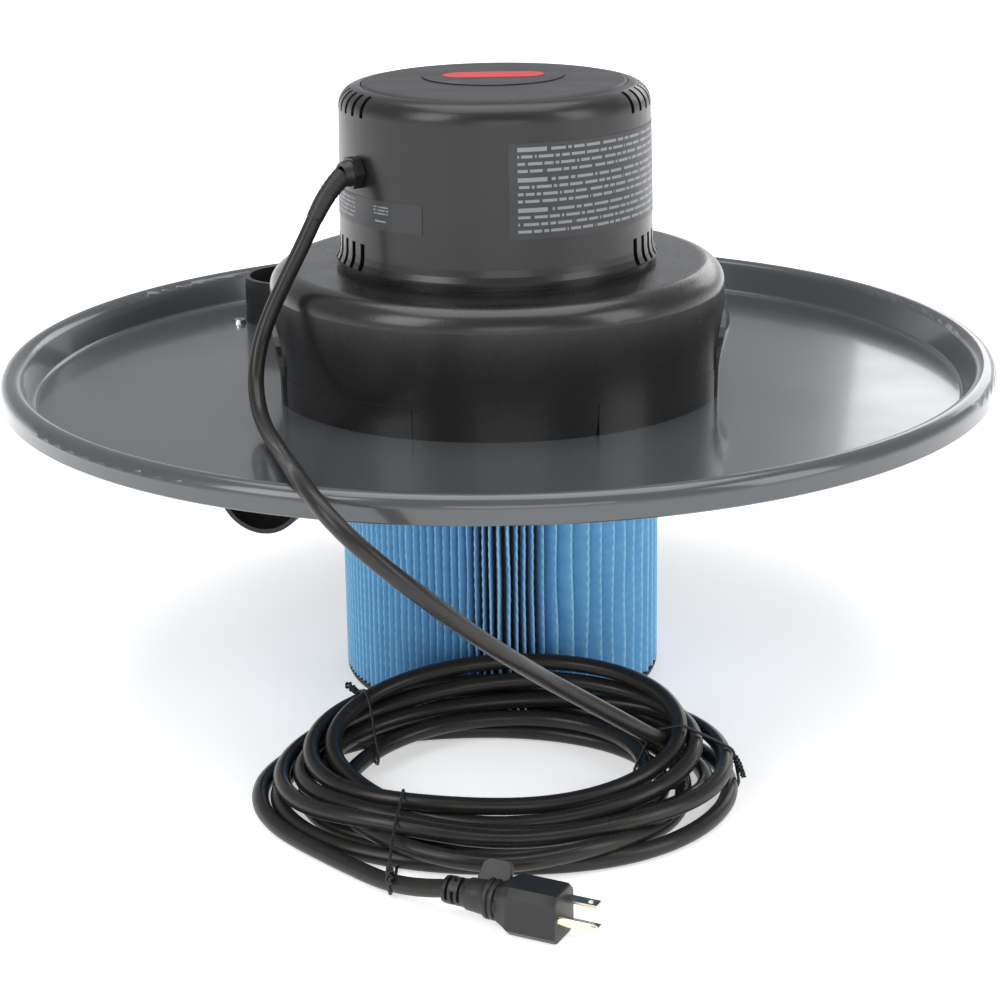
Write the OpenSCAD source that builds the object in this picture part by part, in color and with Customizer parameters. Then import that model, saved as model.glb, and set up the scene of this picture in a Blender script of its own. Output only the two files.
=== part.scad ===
// Drum-top dust collector head: a steel drum lid that carries a motor and fan
// housing above it, and a float cage with a pleated cartridge filter below it.
// The inlet tube passes through the lid into a deflector elbow.
// Frame: +Z up, origin at the centre of the filter's bottom face, hand grips
// on +X and -X, power switch on +Y, power cord leaving on the -Y side.

/* [Drum lid] */
// Outer radius of the rolled rim
lid_r = 305; // [300:1:312]
// Thickness of the steel sheet
sheet = 1.2; // [0.9:0.1:1.5]
// Height of the top of the rolled rim above the pan
pan_depth = 20.8; // [18:0.2:24]
// Radius of the rolled rim's round section
roll_r = 7; // [6:0.5:8]
// Height of the pan's top face above the filter's bottom
pan_z = 186.2; // [180:0.2:200]

/* [Filter] */
// Outer radius of the pleated media
filter_r = 99.8; // [96:0.2:102]
// Number of struts in the float cage
cage_struts = 8; // [6:1:10]
// Radius of the float ball
float_r = 27; // [25:0.5:27.5]

/* [Housings] */
// Outer radius of the lower housing's skirt
skirt_r = 140; // [138:0.5:144]
// Height of the lower housing above the pan
lower_h = 77.3; // [74:0.1:84]
// Outer radius of the motor housing at its foot
motor_r = 96.2; // [95:0.1:98]
// Wall thickness of the moulded housings
wall = 2.6; // [2.2:0.1:3]
// Number of cooling slots in each group
slot_count = 11; // [7:2:13]

/* [Inlet] */
// Inside radius of the hose inlet
inlet_bore_r = 28.8; // [28:0.1:30]
// Wall thickness of the inlet tube
inlet_wall = 3.2; // [2.5:0.1:4]
// Height of the inlet tube above the pan
inlet_h = 30.5; // [20:0.5:60]

/* [Cord] */
// Diameter of the power cord
cord_d = 9.5; // [8:0.5:10]

/* [Hidden] */
$fn = 96;

// Overlap that lets two cuts or two joined shapes pass cleanly
eps = 0.5;
// Overlap between stretches of one bent sheet
lap = 0.2;
// Gap left between neighbours that only rest beside each other
gap = 0.3;
// Running clearance of the shaft in its bearings, on the radius
run = 0.04;

// Drum lid, worked out from its driving sizes
pan_under = pan_z - sheet;
rim_top = pan_z + pan_depth;
roll_c = [lid_r - roll_r, rim_top - roll_r];
wall_tilt = 20;
corner_r = 5;
corner_z = pan_under + corner_r;
wall_low = [cos(wall_tilt), -sin(wall_tilt)] * (corner_r - sheet);
wall_high = roll_c + [-cos(wall_tilt), sin(wall_tilt)] * roll_r;
wall_rise = wall_high[1] - corner_z - wall_low[1];
corner_c = [wall_high[0] - wall_rise * tan(wall_tilt) - wall_low[0], corner_z];
wall_len = wall_rise / cos(wall_tilt);
skirt_drop = 6;
hem_drop = 2.4;
hem_h = 5;
hem_bevel = 0.8;
lid_hole_r = 64;
rim_gasket_r = 4.6;

// Screws: clearance holes, pilot holes, thread and heads
clear_r = 2.6;
pilot_r = 1.9;
thread_r = 1.88;
screw_r = 2.2;
head_r = 4.5;
head_h = 3;
small_head_r = 3.6;
small_head_h = 2.2;
cross_slot_w = 1;
housing_screw_h = 18;
motor_screw_h = 16;
inlet_screw_h = 10;
nut_h = 4;
nut_r = 4.6;

// Housings
lower_top = pan_z + lower_h;
shoulder_r = 14;
shoulder_c = [skirt_r - shoulder_r, lower_top - shoulder_r];
motor_opening_r = 62;
lower_inner_r = skirt_r - wall;
boss_r = 5.5;
boss_h = 40;
rib_t = 2.5;
boss_ring_r = 128;
pilot_h = 25;
press_rib_w = 4;
grip_half_w = 50;
grip_spring = pan_z + 19;
grip_rise = 20;
grip_depth = 4.5;
bead = 3;
hood_rise = 17;
hood_z = grip_spring + grip_rise;
grip_slot_w = 4.5;
grip_slot_h = 18;
grip_slot_z = pan_z + 8;
grip_slot_step = 4.6;
grip_slots = 7;
// How far each height of the grip's raised edge stands off the skirt
bead_foot = 1.2;
bead_mid = 1.6;
bead_hood = 3.6;
bead_tip = 0.1;
// Depth and reach of the prisms that cut or carry the grips
across_in = 60;
across_out = 10;
band_h = 18.5;
band_from = 22.5;
band_to = 66;
band_proud = 0.5;
neck_h = 3.8;
neck_r = 94;
lip_z = lower_top + neck_h;
lip_r = 98.4;
lip_h = 1.6;
// Heights above the lip of the wall's outer and inner lower ends
wall_foot_h = 5;
wall_start_h = 9;
inner_start_h = 12;
wall_start_r = motor_r - 0.1;
draft = 0.018;
motor_shoulder_r = 12;
motor_shoulder_z = 360.2;
motor_top_r = motor_r - draft * (motor_shoulder_z - lip_z);
motor_top = motor_shoulder_z + motor_shoulder_r;
cap_r = 80.6;
cap_seat_z = motor_top - 3.5;
cap_ledge = 6;
cap_gap = 0.6;
cap_bevel = 2;
cap_skirt_r = cap_r - 7;
cap_skirt_t = 2;
cap_skirt_h = 6;
cap_hollow = 1.6;
motor_boss_h = 30;
motor_pilot_h = 20;
slot_pitch = 6.5;
slot_h = 16;
slot_w = 4.6;
slot_z = lip_z + 1.2;
upper_slot_w = 3.6;
upper_slot_in = 7.6;
// Size of a cutter that passes right through a wall
through = 30;
motor_boss_ring = 86.4;
boss_first = 45;

// Labels
label_t = 0.25;
// Film of glue under a label
label_glue = 0.02;
caution_z = [294.3, 349.8];
caution_turn = [2.8, 108];
rating_z = [295.6, 313.1];
rating_turn = [-104, -28.2];
badge_r = 43.5;
badge_t = 1.3;
badge_sunk = 0.6;
crown = 1;
inlay_half_w = 31;
inlay_r = 11.5;
inlay_t = 0.5;
badge_y = 18;
badge_z = motor_top + crown - badge_sunk;
inlay_proud = 0.2;

// Inlet, placed on the lid
inlet_at = [-137, 177];
inlet_r = inlet_bore_r + inlet_wall;
inlet_foot = 160;
inlet_len = pan_z + inlet_h - inlet_foot;
inlet_flange_r = 45;
inlet_flange_t = 3.5;
inlet_screw_ring = 39;
inlet_screw_first = 203.5;
elbow_turn = 249.4;
elbow_bend = 50;
elbow_mid_z = 81;
elbow_reach = 16;
elbow_socket_h = 12;
elbow_socket_t = 3;
elbow_stop_h = 4;
socket_gap = 0.1;

// Float cage and filter
cage_flange_z = 181;
cage_r = 59;
cage_foot = 60;
cage_screw_ring = 72;
cage_pocket_r = 4;
cage_pocket = 2.4;
cage_flange_r = 78;
cage_wall = 2.5;
cage_disc_t = 3;
cage_hoop_h = 4;
cage_hoops = [96, 134];
cage_seat_z = 172;
cage_seat_r = 24;
cage_mouth_r = cage_seat_r + 8;
guide_r = float_r + 2;
strut_t = 2.6;
core_r = 60.2;
core_t = 1.2;
media_in = core_r + core_t + gap;
media_top = cage_seat_z - 1;
core_window = [8, 12, 20];
core_windows = 12;
core_rows = [20 : 30 : 150];
cap_t = 4;
cap_foot_h = 2;
cap_in = 0.6;
cap_foot_in = 1.6;
float_floor = cage_foot + 6;
cradle_r = 12;
float_rest_gap = 0.1;
float_sit = sqrt(float_r * float_r - cradle_r * cradle_r);

// Motor, from the lid upwards
gasket_t = 1;
mount_ring_t = 3.2;
mount_ring_in = 60;
shell_r = 72.5;
shell_hole_r = 26;
shell_vents = 8;
shell_vent = [12, 18, 8];
shell_vent_z = 26;
shell_z = pan_z + gasket_t;
shell_top = 226;
bracket_plate_z = 320;
plate_t = 4;
post_split_z = 278;
post_t = 7;
post_gap = 0.05;
lower_window = 16;
lower_window_at = 30;
upper_window = 18;
upper_window_at = 22;
bolt_hole_r = 2.1;
bolt_r = 2.05;
bolt_head_r = 4;
bolt_head_h = 2.6;
bearing_r = 11;
bearing_h = 7;
bearing_fit = 0.02;
race_out = 9;
race_in = 6.4;
race_deep = 0.5;
hub_over = 1;
shaft_r = 4;
shaft_z = 190;
shaft_h = 162;
shaft_fit = 0.01;
shaft_hole_r = 8;
hub_r = 16;
lower_bearing_z = shell_top + plate_t;
upper_bearing_z = bracket_plate_z + plate_t;
stator_r = 46;
stator_z = 258;
stator_h = 40;
stator_bore = 27.5;
coil_in = 29.8;
coil_out = 40.6;
coil_end_h = 8;
// Angle between a pole's middle and each side of its coil, and half the side's width
coil_side_turn = 46;
coil_side_half = 12;
coil_end_half = 57;
armature_r = 26.8;
armature_in = 2;
armature_slots = 12;
armature_slot = [18, 10, 4.4];
winding_r = 23.5;
winding_over = 7;
winding_in = 2;
winding_bar = [18.4, 7.6, 4.2];
impeller_r = 66;
impeller_eye = 22;
impeller_disc_t = 1.2;
impeller_top_z = 211;
impeller_low_z = 197.8;
impeller_hub_r = 10;
impeller_hub_z = 200;
impeller_blades = 7;
blade_centre = 44;
blade_r = 40;
blade_t = 1.2;
blade_in = 2;
impeller_nut_z = 193.4;
impeller_nut_r = 7.5;
impeller_nut_h = 6.3;
fan_r = 40;
fan_z = 336;
fan_disc_t = 1.6;
fan_hub_r = 9;
fan_hub_h = 14;
fan_blades = 9;
fan_blade = [30.5, 1.6, 11];
commutator_z = 305;
commutator_h = 14;
commutator_r = 13;
commutator_bars = 24;
bar_gap = 0.6;
bar_gap_deep = 1;
brush_size = [14, 6, 9];
brush_gap = 0.05;
brush_slack = 0.1;
holder_at = 14.6;
holder_wall = 1;
spring_r = 2.6;
spring_wire = 0.7;
spring_turns = 5;
spring_h = 8;
holder_size = [22, 8.2, 11.2];
post_ring = 49.2;
post_w = 14;

// Switch
switch_z = 322;
rocker_r = 11;
rocker_w = 13.4;
rocker_y = 93;
rocker_throw = 18;
// Upper half of the rocker's outline, from its face to its back
rocker_half = [[5.6, 0], [7.15, 9.75], [2, 10.9], [-3, 9], [-5, 4]];
well_deep = 8;
well_gap = 0.4;
pin_over = 2;
pin_r = 1.5;
pin_half = 11;
bezel_w = 36;
bezel_h = 32;
bezel_t = 6;
bezel_y = 93.4;
switch_w = 28;
switch_h = 25;
switch_back_y = 78;

// Leads inside the motor housing
lead_r = 1.5;
supply_steps = 16;
supply_turn = 115;
supply_ring = 80;
supply_spread = 3;
supply_in = 3;
supply_drop = 3;
supply_sag = 4;
motor_lead_steps = 12;
motor_lead_from = 8;
motor_lead_turn = 78;
motor_lead_ring = 77.5;
motor_lead_in = 40;
motor_lead_z = 315;
motor_lead_drop = 1;
motor_lead_sag = 3;

// Gland
gland_z = 327;
gland_turn = -150;
nut_flats = 17.5;
gland_nut_h = 5.9;
gland_nut_gap = 0.3;
gland_hole_r = 6.3;
gland_slack = 0.05;
// Body of the gland: its length inside the wall, its lock flange and its dome
gland_inside = 14;
gland_outside = 6;
lock_r = 10;
lock_h = 4;
lock_at = 8.4;
dome_r = 8;
dome_tip_r = 6.6;
dome_h = 5;
cord_slack = 0.1;

// Cord route from the gland, over the lid's rim and down to the coil
route = [[-91, -52, 326], [-98, -56, 319], [-105, -60, 309], [-110, -63, 298],
         [-116, -65, 286], [-122, -67, 273], [-129, -69, 261], [-136, -72, 249],
         [-141, -76, 236], [-144, -80, 223], [-144.8, -88, 210.5], [-143.2, -100, 200.5],
         [-138.4, -118, 194.4], [-132.4, -141, 191.6], [-126.5, -166, 191.6], [-122.1, -190, 194],
         [-119.2, -212, 198.2], [-116.7, -234, 203.2], [-114.2, -257, 208.5],
         [-111.2, -279, 212.6], [-104.2, -300, 210], [-96.4, -314, 204.4], [-87, -323, 196.4],
         [-75.8, -327, 186.2], [-57, -325, 170], [-35, -311, 146], [-16, -295, 125],
         [7, -270, 100], [33, -239, 71], [58, -217, 47], [80, -206, 31]];
// Points of the route that the strain relief covers
boot_points = 3;
boot_t = 1.6;
boot_taper = 1.2;
// Cord from the coil to the plug
tail = [[-104, -281, 5], [-87, -306, 5], [-71, -321, 6], [-55, -335, 9], [-40, -345, 13.2]];

// Coil: its centre, half widths of its outline and of its hole, and its height
coil_at = [-10, -205];
coil_side = 137;
coil_front = 117;
coil_back = 99;
hole_side = 73;
hole_front = 50;
hole_back = 58;
coil_h_front = 24;
coil_h_back = 44;
tie_d = 2;
tie_front_turn = 232;
tie_left_turn = 150;
tie_right_turn = 14;
coil_square = 0.75;
coil_lift = 0.1;

// Plug
plug_at = [18, -376, 13.2];
plug_turn = -28;
plug_block_size = [28, 12, 13];
plug_neck_size = [8.5, 9, 9.5];
plug_cut = 3.5;
collar_r = 10.5;
collar_l = 5.5;
flare_l = 12.5;
flare_r = [8, 9];
relief_l = 13.5;
relief_r = 7.4;
relief_slots = [-62.5, -58.5];
relief_slot_w = 1.6;
relief_slot_r = 5.6;
wing_at = [-47, 2, 7];
wing_lean = -30;
wing_size = [16, 3.4, 13];
blade_size = [16.5, 6.3, 1.5];
blade_low = 1.8;
blade_half_gap = 6.35;
blade_hole_r = 1.7;
blade_hole_x = 12.5;
ground_y = -7;
ground_r = 2.4;
ground_tip_r = 1.2;
ground_l = 18;

// ---------------------------------------------------------------- helpers

// A round plate or tube wall standing on z
module ring(r_out, r_in, z, h) {
    translate([0, 0, z])
        difference() {
            cylinder(r = r_out, h = h);
            translate([0, 0, -eps]) cylinder(r = r_in, h = h + 2 * eps);
        }
}

// A closed tube along points, with one radius at each point
module tube(points, radii, sides = 8) {
    n = len(points);
    rings = [for (i = [0 : n - 1])
        let (t = unit(points[min(i + 1, n - 1)] - points[max(i - 1, 0)]),
             s = unit(cross(t, [0, 0, 1])),
             u = cross(s, t))
        for (k = [0 : sides - 1])
            points[i] + radii[i] * (cos(360 * k / sides) * s + sin(360 * k / sides) * u)];
    skin = [for (i = [0 : n - 2]) each quads(i * sides, (i + 1) * sides, sides)];
    ends = [[for (k = [sides - 1 : -1 : 0]) k],
            [for (k = [0 : sides - 1]) (n - 1) * sides + k]];
    polyhedron(points = rings, faces = concat(skin, ends), convexity = 6);
}

// A closed band of sections, each a list of the same number of points
module band(sections) {
    n = len(sections);
    m = len(sections[0]);
    polyhedron(points = [for (s = sections) for (p = s) p],
               faces = [for (i = [0 : n - 1]) each quads(i * m, ((i + 1) % n) * m, m)],
               convexity = 6);
}

// The strip between two rings of points, each square of it cut into two triangles
function quads(from, to, sides) =
    [for (k = [0 : sides - 1])
        let (next = (k + 1) % sides)
        each [[from + k, from + next, to + next], [from + k, to + next, to + k]]];

function unit(v) = v / norm(v);

// Puts its children at each of a ring's places
module around(count, first = 0) {
    for (i = [0 : count - 1]) rotate([0, 0, first + 360 * i / count]) children();
}

// ---------------------------------------------------------------- drum lid

module drum_lid() {
    color("#55595c")
        difference() {
            rotate_extrude($fn = 180) lid_section();
            translate([0, 0, pan_under - eps]) cylinder(r = lid_hole_r, h = sheet + 2 * eps);
            translate([inlet_at[0], inlet_at[1], pan_under - eps])
                cylinder(r = inlet_r + gap, h = sheet + 2 * eps);
            lid_holes(4, boss_first, boss_ring_r);
            lid_holes(4, boss_first, cage_screw_ring);
            translate([inlet_at[0], inlet_at[1], 0])
                lid_holes(3, inlet_screw_first, inlet_screw_ring);
        }
}

module lid_holes(count, first, ring_r) {
    around(count, first)
        translate([ring_r, 0, pan_under - eps]) cylinder(r = clear_r, h = sheet + 2 * eps, $fn = 24);
}

module lid_section() {
    translate([0, pan_under]) square([corner_c[0] + lap, sheet]);
    translate(corner_c)
        intersection() {
            annulus(corner_r, corner_r - sheet);
            polygon([[0, 0], [0, -2 * corner_r], [2 * corner_r, -2 * corner_r],
                     [2 * corner_r * cos(wall_tilt), -2 * corner_r * sin(wall_tilt)]]);
        }
    translate(corner_c + wall_low)
        rotate(-wall_tilt) translate([0, -lap]) square([sheet, wall_len + 2 * lap]);
    translate(roll_c)
        intersection() {
            annulus(roll_r, roll_r - sheet);
            polygon([[0, 0], [2 * roll_r, 0], [2 * roll_r, 2 * roll_r], [-2 * roll_r, 2 * roll_r],
                     [-2 * roll_r * cos(wall_tilt), 2 * roll_r * sin(wall_tilt)]]);
        }
    translate(roll_c + [roll_r - sheet, -skirt_drop]) square([sheet, skirt_drop + lap]);
    // hem folded flat against the inside of the skirt
    translate(roll_c + [roll_r, -skirt_drop - hem_drop])
        polygon([[0, hem_h], [-2 * sheet, hem_h], [-2 * sheet, hem_bevel], [hem_bevel - 2 * sheet, 0],
                 [-hem_bevel, 0], [0, hem_bevel]]);
}

module annulus(r_out, r_in) {
    difference() {
        circle(r = r_out, $fn = 64);
        circle(r = r_in, $fn = 64);
    }
}

module rim_gasket() {
    color("#1b1b1c")
        rotate_extrude()
            translate(roll_c + [0, roll_r - sheet - rim_gasket_r - run])
                circle(r = rim_gasket_r, $fn = 48);
}

// ---------------------------------------------------------------- lower housing

module lower_housing() {
    color("#242426")
        difference() {
            union() {
                rotate_extrude() lower_section();
                for (side = [0, 180]) rotate([0, 0, side]) grip_bead();
                for (side = [0, 180]) rotate([0, 0, side]) grip_wall();
                for (side = [0, 180]) rotate([0, 0, side]) foot_band();
                around(4, boss_first)
                    translate([boss_ring_r, 0, pan_z]) {
                        cylinder(r = boss_r, h = boss_h, $fn = 32);
                        translate([0, -rib_t / 2, 0])
                            cube([lower_inner_r - boss_ring_r + eps, rib_t, boss_h]);
                    }
            }
            for (side = [0, 180]) rotate([0, 0, side]) grip_cut();
            around(4, boss_first)
                translate([boss_ring_r, 0, pan_z - eps]) cylinder(r = pilot_r, h = pilot_h, $fn = 24);
            around(4, boss_first)
                translate([motor_boss_ring, 0, lower_top - 2 * wall])
                    cylinder(r = clear_r, h = 3 * wall, $fn = 24);
        }
}

module lower_section() {
    rib_z = lower_bearing_z + mount_ring_t;
    translate([lower_inner_r, pan_z]) square([wall, shoulder_c[1] - pan_z]);
    translate(shoulder_c)
        intersection() {
            annulus(shoulder_r, shoulder_r - wall);
            square(2 * shoulder_r);
        }
    translate([motor_opening_r, lower_top - wall])
        square([shoulder_c[0] - motor_opening_r, wall]);
    // rib ring that presses the motor's mount ring down
    translate([motor_opening_r + press_rib_w / 2, rib_z])
        square([press_rib_w, lower_top - wall - rib_z + eps]);
}

// The grip's outline seen along X: straight sides under a low arch
module arch(half_w, spring, rise) {
    polygon(concat([[half_w, pan_z - eps], [half_w, spring]],
                   [for (a = [9 : 9 : 171]) [half_w * cos(a), spring + rise * sin(a)]],
                   [[-half_w, spring], [-half_w, pan_z - eps]]));
}

// A prism of an outline, standing across the +X side of the skirt
module across_x(r_from, r_to) {
    translate([r_from, 0, 0]) rotate([90, 0, 90]) linear_extrude(r_to - r_from) children();
}

module grip_bead() {
    intersection() {
        across_x(skirt_r - across_in, skirt_r + across_out)
            difference() {
                arch(grip_half_w + bead, grip_spring, grip_rise + hood_rise);
                arch(grip_half_w, grip_spring, grip_rise);
            }
        rotate_extrude()
            polygon([[skirt_r - eps, pan_z], [skirt_r + bead_foot, pan_z],
                     [skirt_r + bead_mid, grip_spring], [skirt_r + bead_hood, hood_z],
                     [skirt_r + bead_tip, hood_z + hood_rise], [skirt_r - eps, hood_z + hood_rise]]);
    }
}

module grip_wall() {
    intersection() {
        across_x(skirt_r - across_in, skirt_r + across_out)
            arch(grip_half_w + bead, grip_spring, grip_rise + bead);
        ring(skirt_r - eps, skirt_r - grip_depth - wall, pan_z, lower_h);
    }
}

module grip_cut() {
    intersection() {
        across_x(skirt_r - across_in, skirt_r + across_out) arch(grip_half_w, grip_spring, grip_rise);
        ring(skirt_r + across_out, skirt_r - grip_depth, pan_z - eps, lower_h);
    }
    // air outlet slots through the recess
    for (i = [0 : grip_slots - 1])
        rotate([0, 0, grip_slot_step * (i - (grip_slots - 1) / 2)])
            translate([skirt_r - through / 2, -grip_slot_w / 2, grip_slot_z])
                cube([through, grip_slot_w, grip_slot_h]);
}

// A thin raised band along the foot, on both sides of the plain middle
module foot_band() {
    for (from = [-90 + band_from, -90 - band_to])
        rotate([0, 0, from])
            rotate_extrude(angle = band_to - band_from)
                translate([skirt_r - eps, pan_z]) square([eps + band_proud, band_h]);
}

// ---------------------------------------------------------------- motor housing

module motor_housing() {
    color("#2e2e31")
        difference() {
            union() {
                rotate_extrude() motor_section();
                around(4, boss_first)
                    translate([motor_boss_ring, 0, lower_top])
                        cylinder(r = boss_r, h = motor_boss_h, $fn = 32);
            }
            around(4, boss_first)
                translate([motor_boss_ring, 0, lower_top - eps])
                    cylinder(r = pilot_r, h = motor_pilot_h, $fn = 24);
            for (side = [0, 180]) rotate([0, 0, side]) slot_group();
            gland_place()
                translate([0, 0, -through / 2]) cylinder(r = gland_hole_r, h = through, $fn = 48);
            switch_hole(switch_w, switch_h, switch_back_y);
            switch_hole(bezel_w, bezel_h, bezel_y);
        }
}

module motor_section() {
    foot = [[neck_r - wall, lower_top], [neck_r, lower_top], [neck_r, lip_z], [lip_r, lip_z],
            [lip_r, lip_z + lip_h], [motor_r + 0.6, lip_z + wall_foot_h],
            [wall_start_r, lip_z + wall_start_h]];
    side = [[motor_top_r, motor_shoulder_z]];
    inner = [[motor_top_r - wall, motor_shoulder_z], [neck_r - wall, lip_z + inner_start_h]];
    polygon(concat(foot, side, inner));
    translate([motor_top_r - motor_shoulder_r, motor_shoulder_z])
        intersection() {
            annulus(motor_shoulder_r, motor_shoulder_r - wall);
            square(2 * motor_shoulder_r);
        }
    translate([cap_r + cap_gap, motor_top - wall])
        square([motor_top_r - motor_shoulder_r - cap_r - cap_gap + lap, wall]);
    // step that the top cap sits on
    translate([cap_r + cap_gap, cap_seat_z - wall]) square([wall, motor_top - cap_seat_z + eps]);
    translate([cap_r - cap_ledge, cap_seat_z - wall]) square([cap_ledge + wall, wall]);
}

// Cooling slots at the foot and through the shoulder, centred on +X
module slot_group() {
    half = (slot_count - 1) / 2;
    for (i = [-half : half])
        rotate([0, 0, i * slot_pitch]) {
            translate([motor_r - through / 2, -slot_w / 2, slot_z]) cube([through, slot_w, slot_h]);
            translate([motor_top_r - upper_slot_in, -upper_slot_w / 2, motor_shoulder_z - 1])
                cube([through, upper_slot_w, through]);
        }
}

// The switch's place in the wall, a little larger than the switch
module switch_hole(w, h, y) {
    translate([-w / 2 - gap, y, switch_z - h / 2 - gap]) cube([w + 2 * gap, through, h + 2 * gap]);
}

module top_cap() {
    color("#4a4a4e")
        difference() {
            union() {
                translate([0, 0, cap_seat_z]) cylinder(r = cap_r, h = motor_top - cap_seat_z);
                translate([0, 0, motor_top]) cylinder(r1 = cap_r, r2 = cap_r - cap_bevel, h = crown);
                ring(cap_skirt_r, cap_skirt_r - cap_skirt_t, cap_seat_z - cap_skirt_h, cap_skirt_h + eps);
            }
            translate([0, badge_y, badge_z]) cylinder(r = badge_r + gap, h = 2 * badge_t);
            translate([0, 0, cap_seat_z - eps]) cylinder(r = cap_skirt_r - cap_skirt_t, h = cap_hollow);
        }
}

module badge() {
    color("#151516")
        translate([0, badge_y, badge_z])
            difference() {
                cylinder(r = badge_r, h = badge_t);
                translate([0, 0, badge_t - inlay_t]) inlay_shape(inlay_r + gap, 2 * inlay_t);
            }
}

module badge_inlay() {
    color("#b3202c")
        translate([0, badge_y, badge_z + badge_t - inlay_t])
            inlay_shape(inlay_r, inlay_t + inlay_proud);
}

// A plain bar with round ends
module inlay_shape(r, h) {
    for (side = [-1, 1])
        translate([side * (inlay_half_w - inlay_r), 0, 0]) cylinder(r = r, h = h);
    translate([inlay_r - inlay_half_w, -r, 0]) cube([2 * (inlay_half_w - inlay_r), 2 * r, h]);
}

// ---------------------------------------------------------------- labels

// A thin skin on the drafted wall between two heights and two angles from -Y
module wall_label(z, turn) {
    low = label_r(z[0]);
    high = label_r(z[1]);
    rotate([0, 0, turn[0] - 90])
        rotate_extrude(angle = turn[1] - turn[0])
            polygon([[low, z[0]], [low + label_t, z[0]], [high + label_t, z[1]], [high, z[1]]]);
}

// Radius of a label's inner face at a height
function label_r(z) =
    let (foot_z = lip_z + wall_start_h)
    wall_start_r + label_glue
    + (motor_top_r - wall_start_r) * (z - foot_z) / (motor_shoulder_z - foot_z);

module caution_label() {
    color("#3b3b3e") wall_label(caution_z, caution_turn);
}

module rating_label() {
    color("#3b3b3e") wall_label(rating_z, rating_turn);
}

// ---------------------------------------------------------------- gland

// Puts its children at the cord's hole, their Z axis pointing outwards
module gland_place() {
    rotate([0, 0, gland_turn]) translate([motor_r - 1, 0, gland_z]) rotate([0, 90, 0]) children();
}

module gland_body() {
    color("#1a1a1b")
        gland_place()
            difference() {
                union() {
                    translate([0, 0, -gland_inside])
                        cylinder(r = gland_hole_r - gland_slack, h = gland_inside + gland_outside + eps,
                                 $fn = 48);
                    translate([0, 0, -lock_at]) cylinder(r = lock_r, h = lock_h, $fn = 48);
                    translate([0, 0, gland_outside + gland_nut_gap])
                        cylinder(r1 = dome_r, r2 = dome_tip_r, h = dome_h, $fn = 48);
                }
                translate([0, 0, -through / 2])
                    cylinder(r = cord_d / 2 + cord_slack, h = through, $fn = 48);
            }
}

module gland_nut() {
    color("#161617")
        gland_place()
            difference() {
                translate([0, 0, gland_nut_gap])
                    rotate([0, 0, 30]) cylinder(r = nut_flats / 2 / cos(30), h = gland_nut_h, $fn = 6);
                translate([0, 0, -eps]) cylinder(r = gland_hole_r, h = 2 * gland_nut_h, $fn = 48);
            }
}

module cord_boot() {
    n = boot_points;
    color("#1a1a1b")
        tube([for (i = [0 : n]) route[i]], [for (i = [0 : n]) cord_d / 2 + boot_t - boot_taper * i / n],
             12);
}

// ---------------------------------------------------------------- inlet

module inlet_tube() {
    color("#222224")
        translate([inlet_at[0], inlet_at[1], 0])
            difference() {
                union() {
                    translate([0, 0, inlet_foot]) cylinder(r = inlet_r, h = inlet_len);
                    translate([0, 0, pan_under - inlet_flange_t])
                        cylinder(r = inlet_flange_r, h = inlet_flange_t);
                }
                translate([0, 0, inlet_foot - eps]) cylinder(r = inlet_bore_r, h = inlet_len + 2 * eps);
                around(3, inlet_screw_first)
                    translate([inlet_screw_ring, 0, pan_under - through / 2])
                        cylinder(r = clear_r, h = through, $fn = 24);
            }
}

module inlet_elbow() {
    bend_z = elbow_mid_z + elbow_bend;
    stop_z = inlet_foot - elbow_stop_h;
    socket_r = inlet_r + elbow_socket_t;
    color("#222224")
        translate([inlet_at[0], inlet_at[1], 0])
            rotate([0, 0, elbow_turn]) {
                ring(socket_r, inlet_r + socket_gap, inlet_foot, elbow_socket_h);
                ring(socket_r, inlet_bore_r, stop_z, elbow_stop_h);
                ring(inlet_r, inlet_bore_r, bend_z, stop_z - bend_z);
                translate([elbow_bend, 0, bend_z])
                    rotate([90, 0, 0])
                        rotate([0, 0, 180])
                            rotate_extrude(angle = 90)
                                translate([elbow_bend, 0]) annulus(inlet_r, inlet_bore_r);
                translate([elbow_bend, 0, elbow_mid_z])
                    rotate([0, 90, 0]) ring(inlet_r, inlet_bore_r, 0, elbow_reach);
            }
}

// A pan-head screw: its head's underside on z = 0, its shank downwards
module pan_screw(r, h, shank_r, length) {
    slot = [1.1 * r, cross_slot_w, h];
    difference() {
        union() {
            cylinder(r1 = r, r2 = 0.8 * r, h = h, $fn = 32);
            translate([0, 0, -length]) cylinder(r = shank_r, h = length + eps, $fn = 24);
        }
        for (turn = [0, 90])
            rotate([0, 0, turn]) translate([-slot[0] / 2, -slot[1] / 2, h / 2]) cube(slot);
    }
}

module inlet_screws() {
    color("#c9ccd0")
        translate([inlet_at[0], inlet_at[1], pan_z])
            around(3, inlet_screw_first)
                translate([inlet_screw_ring, 0, 0]) pan_screw(head_r, head_h, screw_r, inlet_screw_h);
}

module inlet_nuts() {
    color("#c9ccd0")
        translate([inlet_at[0], inlet_at[1], pan_under - inlet_flange_t - nut_h])
            around(3, inlet_screw_first)
                translate([inlet_screw_ring, 0, 0])
                    difference() {
                        cylinder(r = nut_r, h = nut_h, $fn = 6);
                        translate([0, 0, -eps])
                            cylinder(r = screw_r + run, h = nut_h + 2 * eps, $fn = 24);
                    }
}

module housing_screws() {
    color("#c9ccd0")
        around(4, boss_first)
            translate([boss_ring_r, 0, pan_under])
                mirror([0, 0, 1]) pan_screw(head_r, head_h, thread_r, housing_screw_h);
}

module motor_housing_screws() {
    color("#c9ccd0")
        around(4, boss_first)
            translate([motor_boss_ring, 0, lower_top - wall])
                mirror([0, 0, 1]) pan_screw(head_r, head_h, thread_r, motor_screw_h);
}

// ---------------------------------------------------------------- switch

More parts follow.
